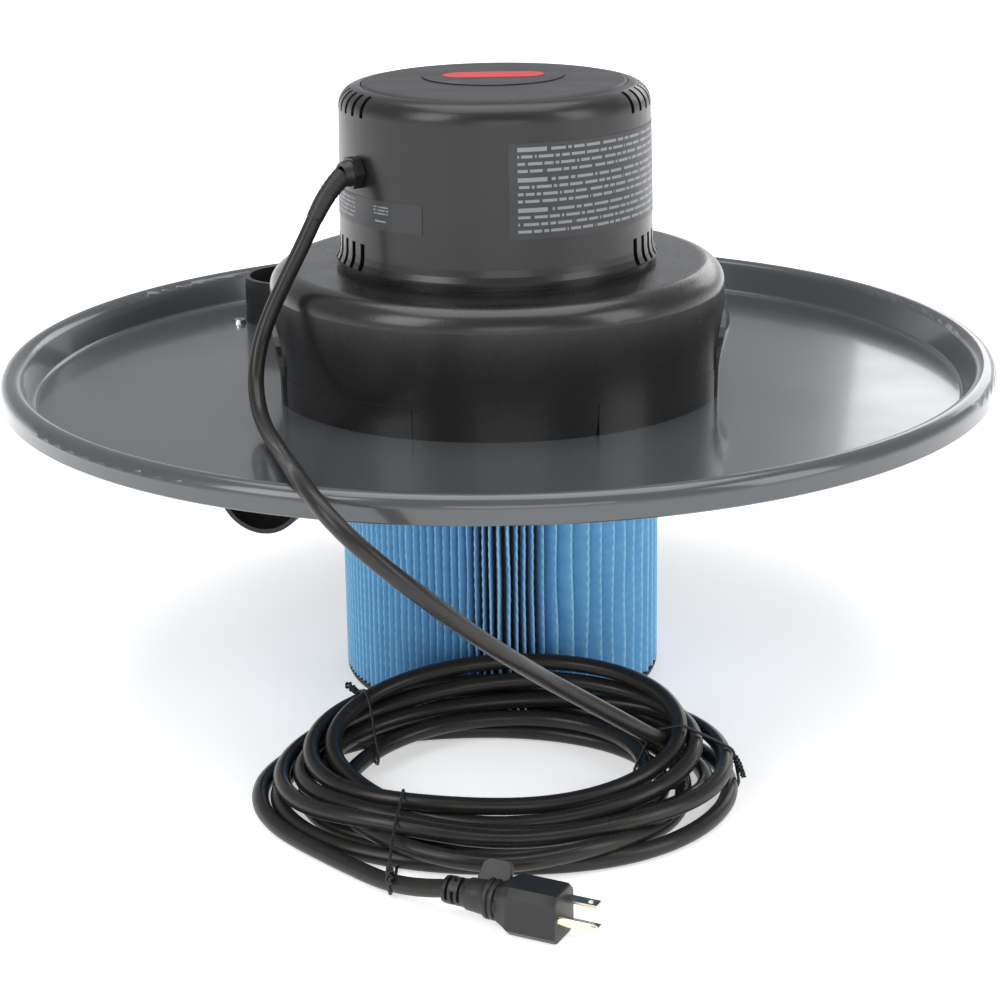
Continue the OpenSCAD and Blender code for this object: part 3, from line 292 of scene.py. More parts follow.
def cord_jacket():
    """Extruded cord jacket: a fine grain, soft lumps and a satin that varies."""
    colour = (0.017, 0.0158, 0.0145)
    g = Graph("cord_jacket", colour, 0.32)
    g.set(Base_Color=g.mix(g.noise(40, 4), shade(colour, 0.8), shade(colour, 1.25)))
    g.set(Roughness=g.spread(g.noise(70, 4), 0.3, 0.7, 0.24, 0.34), Specular_IOR_Level=0.34)
    g.bump(g.noise(900, 2), 0.1, 0.0002)
    g.bump(g.noise(55, 3), 0.1, 0.0005)
    return g.material


def filter_cloth():
    """Spun filter cloth: short fibres, a painted highlight along each fold's crest and painted shade in the
    gaps.
    """
    # The darkest blue is painted shade for the gaps between folds, the palest a painted highlight for the
    # crests
    gap_shade, flank, crest = (0.016, 0.07, 0.17), (0.13, 0.37, 0.62), (0.34, 0.64, 0.82)
    g = Graph("filter_cloth", flank, 0.8)
    radius = g.axis_distance()
    stretch = g.node("ShaderNodeMapping")
    g.feed(stretch.inputs["Vector"], g.place)
    stretch.inputs["Scale"].default_value = (1, 1, 0.35)
    fibres = g.noise(900, 4, 0.7, stretch.outputs["Vector"])
    blotch = g.noise(110, 4, 0.6)
    base = g.mix(g.spread(blotch, 0.3, 0.75, 0, 0.7), flank, (0.085, 0.29, 0.54))
    # Painted shade: the colour darkens deep in the gaps between the folds
    base = g.mix(g.spread(radius, FILTER_R - 0.012, FILTER_R - 0.005, 1, 0), base, gap_shade)
    # Painted highlight: a pale line along each fold's crest
    base = g.mix(g.spread(radius, FILTER_R - 0.0011, FILTER_R - 0.0003, 0, 0.85), base, crest)
    g.set(Base_Color=base)
    g.bump(fibres, 0.5, 0.0004)
    g.bump(blotch, 0.2, 0.0012)
    g.set(Sheen_Weight=0.15, Sheen_Roughness=0.5)
    return g.material


def label_film(name, rows, angle_from, angle_to, low, high, seed):
    """A dark printed film with rows of plain light bars. Angles are from -Y towards +X, in degrees.

    A row is its start and end across the film, its height up it, its thickness and how often it is broken.
    """
    colour, ink = (0.027, 0.028, 0.031), (0.21, 0.22, 0.235)
    g = Graph(name, colour, 0.38)
    split = g.node("ShaderNodeSeparateXYZ")
    g.feed(split.inputs[0], g.place)
    angle = g.math("ARCTAN2", split.outputs["X"], g.math("MULTIPLY", split.outputs["Y"], -1.0))
    across = g.spread(angle, math.radians(angle_from), math.radians(angle_to))
    up = g.spread(split.outputs["Z"], low, high)
    dark = None
    rng = random.Random(seed)
    for start, end, height, thick, breaks in rows:
        in_row = g.math("LESS_THAN", g.math("ABSOLUTE", g.math("SUBTRACT", up, height)), thick / 2)
        in_span = g.math("MULTIPLY", g.math("GREATER_THAN", across, start), g.math("LESS_THAN", across, end))
        bar = g.math("MULTIPLY", in_row, in_span)
        if breaks:
            step = g.math("FRACT", g.math("ADD", g.math("MULTIPLY", across, breaks), rng.random()))
            gap_a = g.math("GREATER_THAN", step, 0.12)
            other = g.math("FRACT", g.math("ADD", g.math("MULTIPLY", across, breaks * 0.618), rng.random()))
            gap_b = g.math("GREATER_THAN", other, 0.08)
            bar = g.math("MULTIPLY", bar, g.math("MULTIPLY", gap_a, gap_b))
        dark = bar if dark is None else g.math("MAXIMUM", dark, bar)
    g.set(Base_Color=g.mix(dark, g.mix(g.noise(30, 3), shade(colour, 0.85), shade(colour, 1.15)), ink))
    g.set(Roughness=g.spread(g.noise(60, 3), 0.3, 0.7, 0.33, 0.45))
    g.bump(g.noise(1400, 2), 0.1, 0.0002)
    return g.material


def caution_rows():
    """Three blocks of four rows of bars, each block with a short heavy bar first."""
    rows = []
    height = 0.935
    line_step, block_step = 0.0745, 0.092
    for _block in range(3):
        rows.append((0.03, 0.13, height, 0.044, 0))
        rows.append((0.145, 0.97, height, 0.03, 14))
        for _line in range(3):
            height -= line_step
            rows.append((0.03, 0.97, height, 0.03, 17))
        height -= block_step
    return rows


def rating_rows():
    """Five short rows on one side, a small block and one heavier row on the other."""
    rows = [(0.45, 0.98, 0.86 - 0.15 * k, 0.06, 12) for k in range(5)]
    rows += [(0.19, 0.29, 0.78 - 0.11 * k, 0.05, 16) for k in range(3)]
    rows.append((0.2, 0.28, 0.3, 0.06, 9))
    return rows


def paint_nodes():
    """Gives every carried-over CAD node its material."""
    black = (0.016, 0.016, 0.0165)
    gloss = moulded("housing_gloss", (0.0105, 0.01, 0.0105), 0.27, grain_scale=1100, coat=0.2)
    satin = moulded("housing_satin", (0.0088, 0.0083, 0.009), 0.31, grain_scale=1500, coat=0.1)
    plastic = moulded("black_plastic", black, 0.38)
    rubber = moulded("black_rubber", (0.014, 0.014, 0.014), 0.62, grain_scale=2200)
    zinc = metal("zinc_plate", (0.68, 0.68, 0.66), 0.28)
    steel = metal("core_steel", (0.42, 0.42, 0.43), 0.38)
    cast = metal("cast_aluminium", (0.62, 0.63, 0.64), 0.42, scratches=90, stretch=(1, 1, 1))
    ground = metal("ground_steel", (0.6, 0.6, 0.62), 0.18, stretch=(1, 1, 20))
    copper = metal("copper_wire", (0.58, 0.24, 0.1), 0.35, scratches=500, stretch=(1, 1, 0.2))
    brass = metal("brass", (0.62, 0.47, 0.2), 0.3)
    looks = {
        "drum_lid": lid_enamel(),
        "rim_gasket": rubber,
        "lower_housing": gloss,
        "motor_housing": satin,
        "top_cap": moulded("cap_plastic", (0.03, 0.03, 0.033), 0.5, grain_scale=900),
        "badge": moulded("badge_black", (0.006, 0.006, 0.0065), 0.4, grain_scale=2500),
        "badge_inlay": moulded("badge_red", (0.48, 0.011, 0.018), 0.4, grain_scale=2500),
        "caution_label": label_film("label_caution", caution_rows(), 2.8, 108, 0.2943, 0.3498, 4),
        "rating_label": label_film("label_rating", rating_rows(), -28.2, -104, 0.2956, 0.3131, 9),
        "gland_nut": moulded("gland_plastic", black, 0.25, coat=0.3),
        "gland_body": plastic,
        "inlet_tube": plastic,
        "inlet_elbow": plastic,
        "inlet_screws": zinc,
        "inlet_nuts": zinc,
        "housing_screws": zinc,
        "motor_housing_screws": zinc,
        "cage_screws": zinc,
        "motor_bolts": zinc,
        "impeller_nut": zinc,
        "switch_bezel": plastic,
        "switch_rocker": moulded("rocker_red", (0.38, 0.02, 0.02), 0.28, coat=0.3),
        "float_cage": plastic,
        "float_ball": moulded("float_plastic", (0.75, 0.74, 0.7), 0.35, mottle=0.04),
        "filter_core": steel,
        "filter_top_ring": rubber,
        "filter_bottom_cap": rubber,
        "motor_gasket": rubber,
        "motor_mount_ring": rubber,
        "fan_shell": steel,
        "lower_bracket": cast,
        "upper_bracket": cast,
        "lower_bearing": ground,
        "upper_bearing": ground,
        "motor_shaft": ground,
        "brush_springs": ground,
        "stator_core": steel,
        "armature_core": steel,
        "field_coils": copper,
        "armature_windings": copper,
        "commutator": copper,
        "brush_holders": brass,
        "brushes": moulded("carbon", (0.03, 0.03, 0.03), 0.5),
        "cooling_fan": plastic,
        "impeller": cast,
        "supply_leads": moulded("lead_black", black, 0.4),
        "motor_leads": moulded("lead_red", (0.3, 0.02, 0.02), 0.4),
        "plug_blades": metal("blade_plate", (0.66, 0.63, 0.55), 0.22),
        "plug_ground_pin": metal("pin_brass", (0.78, 0.71, 0.52), 0.25),
        "plug_body": moulded("plug_rubber", (0.017, 0.0165, 0.016), 0.42, grain_scale=2000),
    }
    for name, material in looks.items():
        node = frame["nodes"][name]
        node.data.materials.clear()
        node.data.materials.append(material)


# ------------------------------------------------------------------ the cord


def smooth_line(points, steps):
    """A Catmull-Rom line through the points."""
    pts = [np.array(p, float) for p in points]
    pts = [2 * pts[0] - pts[1], *pts, 2 * pts[-1] - pts[-2]]
    out = []
    for i in range(1, len(pts) - 2):
        a, b, c, d = pts[i - 1 : i + 3]
        for k in range(steps):
            t = k / steps
            out.append(0.5 * (2 * b + (c - a) * t + (2 * a - 5 * b + 4 * c - d) * t * t
                              + (3 * b - a - 3 * c + d) * t ** 3))
    out.append(pts[-2])
    return np.array(out)


def even_line(points, spacing):
    """The same line with points at an even spacing."""
    gaps = np.linalg.norm(np.diff(points, axis=0), axis=1)
    along = np.concatenate([[0], np.cumsum(gaps)])
    count = max(2, int(round(along[-1] / spacing)) + 1)
    at = np.linspace(0, along[-1], count)
    return np.stack([np.interp(at, along, points[:, k]) for k in range(3)], 1)


def oval_r(angle, side, front, back):
    depth = np.where(np.sin(angle) > 0, back, front)
    return side * depth / np.hypot(depth * np.cos(angle), side * np.sin(angle))


def back_share(angle):
    return (1 + np.sin(angle)) / 2


COIL_START = math.radians(42)
COIL_END = math.radians(219) + 2 * math.pi * 8
START_LANE, END_LANE = (1.0, 0.22), (1.0, 0.0)
# How far a turn's stops wander from the quarters, and how near to the end the last may be, in degrees
STOP_WANDER, END_CLEAR = 11, 25
MEAN_TURN_R = 0.094
POINT_STEP = 6 * MM

# How the wound cord relaxes: its pull towards its first place, early and late, and how it sinks
ROUNDS = 700
HOME_PULL, LATE_PULL, LATE = 0.02, 0.008, 0.6
SINK = 0.00002
# (points apart, share of the way) each time the line is smoothed while it relaxes, and once it is at rest
STIFFNESS = ((1, 0.5), (2, 0.35), (4, 0.2))
LAST_STEPS, LAST_SHARE = (1, 2, 4, 1, 2, 1), 0.6
LENGTH_FIX = 0.3
PART_SHARE, PART_GROWTH = 0.35, 0.15
CONTACT = 1.01
# Points this many diameters apart along the cord count as neighbours; pairs are sought this many diameters away
NEXT_ALONG, PAIR_REACH, PAIRS_EVERY = 3.2, 1.6, 8
FILTER_GAP, FLOOR_GAP, UNDER_LID = 0.001, 0.0002, 0.1
# How near a centre line may come to the hole's outline, in cord radii, and how much of the way back it is put
HOLE_PLAY, KEEP_SHARE = 0.4, 0.5
# The free stretch gives over its last points, and the tail over a few past its start
FREE_GIVES, TAIL_GIVES, TAIL_FADE = 14, 6, 10
JOINT_STEPS, JOIN_ROUNDS, JOIN_SHARE = 6, 30, 0.5
TINY = 1e-9

# Where each turn lies in the bundle's section as it passes the back, the left, the front and the right:
# (0 at the hole, 1 at the outline), (0 on the floor, 1 on top). The first turn comes in low
# on the right, under later strands, and climbs to the top as it goes round.
TURNS_BACK = ((1.0, 0.66), (1.0, 0.97), (0.72, 0.72), (1.0, 0.46), (0.70, 0.36), (0.38, 0.24),
              (0.72, 0.12), (0.42, 0.0), (1.0, 0.0))
TURNS_LEFT = ((0.46, 0.72), (0.27, 0.70), (0.62, 0.42), (0.80, 0.38), (0.38, 0.36), (0.14, 0.32),
              (0.55, 0.0), (0.84, 0.0), (1.0, 0.0))
TURNS_FRONT = ((0.10, 0.95), (0.27, 0.80), (0.44, 0.74), (0.62, 0.60), (0.16, 0.10), (0.97, 0.10),
               (0.36, 0.0), (0.74, 0.0))
TURNS_RIGHT = ((0.42, 1.0), (0.66, 1.0), (0.74, 0.12), (0.92, 0.62), (0.20, 0.40), (0.50, 0.30),
               (0.34, 0.0), (0.96, 0.0))


def wound_turns():
    """First guess at the turns: each passes from place to place in the bundle as it goes round."""
    rng = np.random.default_rng(7)
    stops, lanes = [COIL_START], [START_LANE]
    for turn in range(len(TURNS_BACK)):
        for quarter, places in enumerate((TURNS_BACK, TURNS_LEFT, TURNS_FRONT, TURNS_RIGHT)):
            wander = rng.uniform(-STOP_WANDER, STOP_WANDER)
            angle = 2 * math.pi * turn + math.radians(90 * (quarter + 1) + wander)
            if turn < len(places) and angle < COIL_END - math.radians(END_CLEAR):
                stops.append(angle)
                lanes.append(places[turn])
    stops.append(COIL_END)
    lanes.append(END_LANE)
    knots = smooth_line([(s, a, b) for s, (a, b) in zip(stops, lanes)], 12)
    angles = np.linspace(COIL_START, COIL_END, int((COIL_END - COIL_START) * MEAN_TURN_R / POINT_STEP))
    side = np.interp(angles, knots[:, 0], knots[:, 1]).clip(0, 1)
    level = np.interp(angles, knots[:, 0], knots[:, 2]).clip(0, 1)
    outer = oval_r(angles, COIL_SIDE, COIL_FRONT, COIL_BACK) - CORD_R
    inner = oval_r(angles, HOLE_SIDE, HOLE_FRONT, HOLE_BACK) + CORD_R
    height = COIL_H_FRONT + (COIL_H_BACK - COIL_H_FRONT) * back_share(angles)
    r = inner + (outer - inner) * side
    z = CORD_R + (height - CORD_D) * level
    return np.stack([COIL_AT[0] + r * np.cos(angles), COIL_AT[1] + r * np.sin(angles), z], 1)


def stiffen(p, loose, step, share):
    """Bends the line towards a smooth one over points a step apart."""
    bend = np.zeros_like(p)
    s = step
    bend[2 * s:-2 * s] = (-p[:-4 * s] + 4 * p[s:-3 * s] + 4 * p[3 * s:-s] - p[4 * s:]) / 6 - p[2 * s:-2 * s]
    return p + share * bend * loose


def settle(points, loose):
    """Relaxes the wound cord: it keeps its length, bends smoothly, and strands that cross are pushed apart."""
    p = points.copy()
    home = points.copy()
    skip = int(math.ceil(NEXT_ALONG * CORD_D / POINT_STEP))
    for k in range(ROUNDS):
        if k % PAIRS_EVERY == 0:
            pairs = close_pairs(p, CORD_D * PAIR_REACH, skip)
        share = k / ROUNDS
        p += (home - p) * loose * (HOME_PULL if share < LATE else LATE_PULL)
        p[:, 2] -= SINK * loose[:, 0]
        for step, much in STIFFNESS:
            p = stiffen(p, loose, step, much)
        for _ in range(2):
            d = np.diff(p, axis=0)
            length = np.linalg.norm(d, axis=1, keepdims=True)
            fix = d * (1 - POINT_STEP / np.maximum(length, TINY)) * LENGTH_FIX
            p[:-1] += fix * loose[:-1]
            p[1:] -= fix * loose[1:]
        p = part(p, pairs, loose, PART_SHARE + PART_GROWTH * share)
        p = keep_in(p, loose)
    ends = np.minimum(np.arange(len(p)), np.arange(len(p))[::-1])[:, None]
    for step in LAST_STEPS:
        p = stiffen(p, np.clip(ends / 6 - 0.5, 0, 1), step, LAST_SHARE)
    return p


def close_pairs(p, reach, skip):
    """Pairs of points nearer than reach that aren't near each other along the cord."""
    found_i, found_j = [], []
    for i in range(0, len(p) - skip):
        d = p[i + skip:] - p[i]
        near = np.nonzero((d * d).sum(1) < reach * reach)[0]
        if len(near):
            found_i.append(np.full(len(near), i))
            found_j.append(near + i + skip)
    if not found_i:
        return np.zeros(0, int), np.zeros(0, int)
    return np.concatenate(found_i), np.concatenate(found_j)


def part(p, pairs, loose, share):
    """Pushes apart points that are nearer than a diameter."""
    i, j = pairs
    if not len(i):
        return p
    d = p[j] - p[i]
    length = np.linalg.norm(d, axis=1, keepdims=True)
    push = np.maximum(CORD_D * CONTACT - length, 0) / np.maximum(length, TINY) * d * share
    move = np.zeros_like(p)
    count = np.zeros((len(p), 1))
    np.add.at(move, i, -push)
    np.add.at(move, j, push)
    hit = (push != 0).any(1, keepdims=True).astype(float)
    np.add.at(count, i, hit)
    np.add.at(count, j, hit)
    return p + move / np.maximum(np.sqrt(count), 1) * loose


def keep_in(p, loose):
    """Keeps the turns on the floor, off the filter and inside the bundle's outline."""
    rel = p[:, :2] - COIL_AT
    angle = np.arctan2(rel[:, 1], rel[:, 0])
    r = np.linalg.norm(rel, axis=1)
    outer = oval_r(angle, COIL_SIDE, COIL_FRONT, COIL_BACK) - CORD_R
    inner = oval_r(angle, HOLE_SIDE, HOLE_FRONT, HOLE_BACK) + CORD_R * HOLE_PLAY
    wanted = np.clip(r, inner, outer)
    q = p.copy()
    blend = KEEP_SHARE * loose[:, 0]
    scale = 1 + blend * (wanted / np.maximum(r, TINY) - 1)
    q[:, :2] = COIL_AT + rel * scale[:, None]
    axis = np.linalg.norm(q[:, :2], axis=1)
    clear = FILTER_R + CORD_R + FILTER_GAP
    near = (axis < clear) & (loose[:, 0] > 0) & (q[:, 2] < UNDER_LID)
    q[near, :2] *= (clear / axis[near])[:, None]
    low = CORD_R + FLOOR_GAP
    q[:, 2] = np.where(loose[:, 0] > 0, np.maximum(q[:, 2], low), q[:, 2])
    return q


def cord_line():
    """The whole cord from the gland to the plug: free stretch, wound turns and tail."""
    free = even_line(smooth_line(metres(ROUTE_MM), 8), POINT_STEP)
    tail = even_line(smooth_line(metres(TAIL_MM), 8), POINT_STEP)
    turns = wound_turns()
    # The outer points only give the joint its direction; it is kept between the free stretch and the turns
    joint = smooth_line([free[-4], free[-1], *metres(JOINT_MM), turns[1], turns[5]], JOINT_STEPS)
    joint = joint[JOINT_STEPS:(len(JOINT_MM) + 2) * JOINT_STEPS]
    line = even_line(np.concatenate([free[:-1], joint, turns[1:-5], tail[1:]]), POINT_STEP)
    at = np.arange(len(line))
    loose = np.clip((at - (len(free) - FREE_GIVES)) / FREE_GIVES, 0, 1)
    loose = loose * np.clip((len(line) - len(tail) + TAIL_GIVES - at) / TAIL_FADE, 0, 1)
    smoother = np.clip(at / 4, 0, 1) * np.clip((len(line) - 1 - at) / 4, 0, 1)
    for _ in range(JOIN_ROUNDS):
        line = stiffen(line, smoother[:, None], 1, JOIN_SHARE)
    return settle(line, loose[:, None])


def round_curve(name, radius, resolution):
    """An empty curve drawn round, with its ends closed."""
    curve = bpy.data.curves.new(name, "CURVE")
    curve.dimensions = "3D"
    curve.bevel_depth = radius
    curve.bevel_resolution = resolution
    curve.use_fill_caps = True
    return curve


def add_spline(curve, points, closed=False, radii=None):
    spline = curve.splines.new("POLY")
    spline.points.add(len(points) - 1)
    spline.points.foreach_set("co", np.c_[np.array(points), np.ones(len(points))].ravel())
    if radii is not None:
        spline.points.foreach_set("radius", np.array(radii, float))
    spline.use_cyclic_u = closed
    spline.use_smooth = True


def make_cord(jacket):
    """The cord as one open curve, its points and its length."""
    line = cord_line()
    curve = round_curve("power_cord", CORD_R, 5)
    add_spline(curve, line)
    cord = add_object("power_cord", curve)
    curve.materials.append(jacket)
    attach(cord, "head")
    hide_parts("cord_tube", "cord_coil", "cord_tail")
    return cord, line, float(np.linalg.norm(np.diff(line, axis=0), axis=1).sum())


# ------------------------------------------------------------------ meshes


def piece(name, verts, faces, material, replaced=(), smooth_angle=35, body="head"):
    """A closed mesh piece on a CAD body, in the row frame."""
    mesh = bpy.data.meshes.new(name)
    mesh.from_pydata([tuple(map(float, v)) for v in verts], [], [tuple(map(int, f)) for f in faces])
    mesh.validate()
    tidy = bmesh.new()
    tidy.from_mesh(mesh)
    bmesh.ops.recalc_face_normals(tidy, faces=tidy.faces)
    limit = math.radians(smooth_angle)
    for face in tidy.faces:
        face.smooth = True
    for edge in tidy.edges:
        edge.smooth = len(edge.link_faces) != 2 or edge.calc_face_angle(0) < limit
    tidy.to_mesh(mesh)
    tidy.free()
    mesh.materials.append(material)
    made = add_object(name, mesh)
    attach(made, body)
    if replaced:
        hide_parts(*replaced)
    return made


def ring_faces(rows, count, closed=False):
    """Quads between rows of points that go round, with a cap on each end unless the rows close up."""
    faces = []
    last = rows if closed else rows - 1
    for i in range(last):
        a, b = i * count, ((i + 1) % rows) * count
        for k in range(count):
            n = (k + 1) % count
            faces.append((a + k, a + n, b + n, b + k))
    if not closed:
        faces.append(tuple(range(count - 1, -1, -1)))
        faces.append(tuple((rows - 1) * count + k for k in range(count)))
    return faces


def frames_along(points):
    """A steady side and up direction at each point of a line."""
    tangents = np.gradient(points, axis=0)
    tangents /= np.linalg.norm(tangents, axis=1, keepdims=True)
    side = np.cross(tangents[0], (0, 0, 1.0))
    side /= np.linalg.norm(side)
    sides = []
    for t in tangents:
        side = side - t * side.dot(t)
        side = side / np.linalg.norm(side)
        sides.append(side)
    sides = np.array(sides)
    return sides, np.cross(sides, tangents)


# ------------------------------------------------------------------ the filter's pleated cloth

# One pleat from its crest to the next: (share of the way, depth in mm). Straight ones show a deep gap;
# those that lean lie over like shingles, towards +X (LEAN) or the other way round.
STRAIGHT = ((0, 0), (0.07, -0.25), (0.15, -1.2), (0.21, -4), (0.3, -14), (0.5, -24),
            (0.7, -14), (0.79, -4), (0.85, -1.2), (0.93, -0.25))
LEAN = ((0, 0), (0.035, -0.7), (0.06, -3.2), (0.085, -6.4), (0.13, -7.2), (0.3, -5.6),
        (0.5, -3.7), (0.68, -2.1), (0.83, -0.95), (0.945, -0.25))
RIPPLE = 6.6 * MM
RIPPLE_TURN, RIPPLE_DEPTH = 0.13, 0.16
CREST_BACK = 0.25
# Movements at the crest fade over this depth in mm
CREST_FADE = 6
# Degrees from crest to crest where the pleats are close, what is added where they are spread, and how uneven
PLEAT_GAP, EXTRA_GAP = 2.95, 3.0
UNEVEN, FRONT_UNEVEN = 0.035, 0.22
# Each crest drifts by shares of a pleat, in three slow waves up the cloth
DRIFT, DRIFT_WAVES = 0.035, (0.6, 1.4, 2.7)
MEDIA_INNER_R = 0.0626
MEDIA_LEVELS = 127
MEDIA_END_GAP = 0.0003


def soft_step(x, low, high):
    t = min(1.0, max(0.0, (x - low) / (high - low)))
    return t * t * (3 - 2 * t)


def crest_angles(rng):
    """Crest angles in degrees from -Y: close pleats on the -X side, spread ones on the +X side."""
    at, crests = -90.0, []
    while at < 270:
        crests.append(at)
        spread = soft_step(at, 6, 18) * (1 - soft_step(at, 100, 150))
        uneven = UNEVEN + FRONT_UNEVEN * math.exp(-((at + 1) / 7) ** 2)
        at += (PLEAT_GAP + EXTRA_GAP * spread) * (1 + rng.normal(0, uneven))
    return (np.array(crests) + 90) * 360 / (at + 90) - 90


def pleat_profile(turn):
    """The profile at an angle: leaning left, straight in the middle, leaning right."""
    right = soft_step(turn, 6, 15) - soft_step(turn, 100, 140)
    left = 1 - soft_step(turn, -17, -8) if turn < 100 else soft_step(turn, 180, 230)
    mirrored = [LEAN[0], *[(1 - u, d) for u, d in LEAN[:0:-1]]]
    middle = max(0.0, 1 - right - left)
    return [(right * a[0] + left * b[0] + middle * c[0], right * a[1] + left * b[1] + middle * c[1])
            for a, b, c in zip(LEAN, mirrored, STRAIGHT)]


def make_media():
    """Folded cloth: each pleat has its own width and lean, and its crest and flanks ripple."""
    rng = np.random.default_rng(11)
    bottom, top = MEDIA_LOW.z + MEDIA_END_GAP, MEDIA_HIGH.z - MEDIA_END_GAP
    levels = np.linspace(bottom, top, MEDIA_LEVELS)
    crests = crest_angles(rng)
    pleats = len(crests)
    gaps = np.diff(np.append(crests, crests[0] + 360))
    drift = rng.normal(0, DRIFT, (pleats, 3))
    phase = np.cumsum(rng.normal(0, 0.5, pleats))
    size = rng.uniform(0.6, 1.1, pleats)
    profiles = [pleat_profile(turn) for turn in crests]
    verts = []
    for z in levels:
        up = (z - bottom) / (top - bottom)
        sway = (drift * np.sin(2 * math.pi * np.array(DRIFT_WAVES) * up + drift * 90)).sum(1)
        wave = np.sin(2 * math.pi * z / RIPPLE + phase)
        for i in range(pleats):
            for u, drop in profiles[i]:
                near = math.exp(drop / CREST_FADE)
                drawn = sway[i] * gaps[i] * (1 - u) + sway[(i + 1) % pleats] * gaps[i] * u
                turn = crests[i] + u * gaps[i] + drawn * near
                turn += RIPPLE_TURN * wave[i] * size[i] * near
                ripple = RIPPLE_DEPTH * (1 + wave[i]) * size[i] * (0.4 if u == 0 else 1)
                r = FILTER_R + (drop - CREST_BACK - ripple) * MM
                a = math.radians(turn - 90)
                verts.append((r * math.cos(a), r * math.sin(a), z))
    count = pleats * len(STRAIGHT)
    for z in (levels[-1], levels[0]):
        for i in range(count):
            a = math.atan2(verts[i][1], verts[i][0])
            verts.append((MEDIA_INNER_R * math.cos(a), MEDIA_INNER_R * math.sin(a), z))
    faces = ring_faces(MEDIA_LEVELS + 2, count, closed=True)
    return piece("pleated_media", verts, faces, filter_cloth(), ["filter_media"], 50, "filter")


# ------------------------------------------------------------------ strain relief at the gland

BOOT_LENGTH = 32 * MM
BOOT_STEP_MM = 0.5
# The shallow rings stand between these places along the boot, this far apart, in mm
RINGS_FROM, RINGS_TO, RING_PITCH, RING_DEPTH = 4, 17, 3.25, 0.28
# The wall over the cord tapers by the first down to the second, and its last stretch rounds off, in mm
WALL_TAPER, WALL_END = 1.15, 0.22
LIP_FROM, LIP_LENGTH, LIP_DROP = 30.5, 1.5, 0.5


def make_boot(line, material):
    """A tapered sleeve over the cord's first stretch, with shallow rings near the gland."""
    fine = even_line(smooth_line(line[:9], 10), BOOT_STEP_MM * MM)
    count = int(BOOT_LENGTH / (BOOT_STEP_MM * MM)) + 1
    path = fine[:count]
    sides, ups = frames_along(fine)
    verts = []
    around = 32
    for k, point in enumerate(path):
        s = k / (count - 1)
        r = CORD_R + (WALL_TAPER * (1 - s) ** 0.9 + WALL_END) * MM
        at = k * BOOT_STEP_MM
        if RINGS_FROM < at < RINGS_TO:
            r -= RING_DEPTH * MM * max(0.0, math.sin(2 * math.pi * (at - RINGS_FROM) / RING_PITCH)) ** 2
        r -= LIP_DROP * MM * max(0.0, (at - LIP_FROM) / LIP_LENGTH) ** 2
        for n in range(around):
            b = 2 * math.pi * n / around
            verts.append(point + r * (math.cos(b) * sides[k] + math.sin(b) * ups[k]))
    return piece("strain_relief", verts, ring_faces(count, around), material, ["cord_boot"], 40)


# ------------------------------------------------------------------ wire ties

TIE_R = 0.85 * MM
TIE_SWAY = 0.7 * MM
TIE_STEP = 2.0 * MM
# A tie takes in the turns that pass this near to its line, and below this height
TIE_SPAN, COIL_TOP = 5 * MM, 60 * MM
TWIST_STEPS, TWIST_TURNS = 36, 3.2
TWIST_BEND = 1.8 * MM


def hull(points):
    """Convex hull of 2D points, anticlockwise."""
    pts = sorted(map(tuple, points))

    def half(order):
        out = []
        for p in order:
            while len(out) > 1 and ((out[-1][0] - out[-2][0]) * (p[1] - out[-2][1])
                                    - (out[-1][1] - out[-2][1]) * (p[0] - out[-2][0])) <= 0:
                out.pop()
            out.append(p)
        return out[:-1]

    return np.array(half(pts) + half(pts[::-1]))


def tie_loop(line, base, angle):
    """The loop pulled round all the turns that cross a line from base at this angle, in (outwards, up)."""
    out = np.array([math.cos(angle), math.sin(angle)])
    along = np.array([-out[1], out[0]])
    rel = line[:, :2] - base
    near = (np.abs(rel @ along) < TIE_SPAN) & (rel @ out > 0) & (line[:, 2] < COIL_TOP)
    spots = np.stack([rel[near] @ out, line[near, 2]], 1)
    ring = [np.array([math.cos(b), math.sin(b)]) for b in np.linspace(0, 2 * math.pi, 24, endpoint=False)]
    reach = CORD_R + TIE_R + 0.15 * MM
    loop = hull([s + reach * d for s in spots for d in ring])
    loop[:, 1] = np.maximum(loop[:, 1], TIE_R + 0.1 * MM)
    closed = even_line(np.c_[np.r_[loop, loop[:1]], np.zeros(len(loop) + 1)], TIE_STEP)
    return closed[:-1, :2], out, along


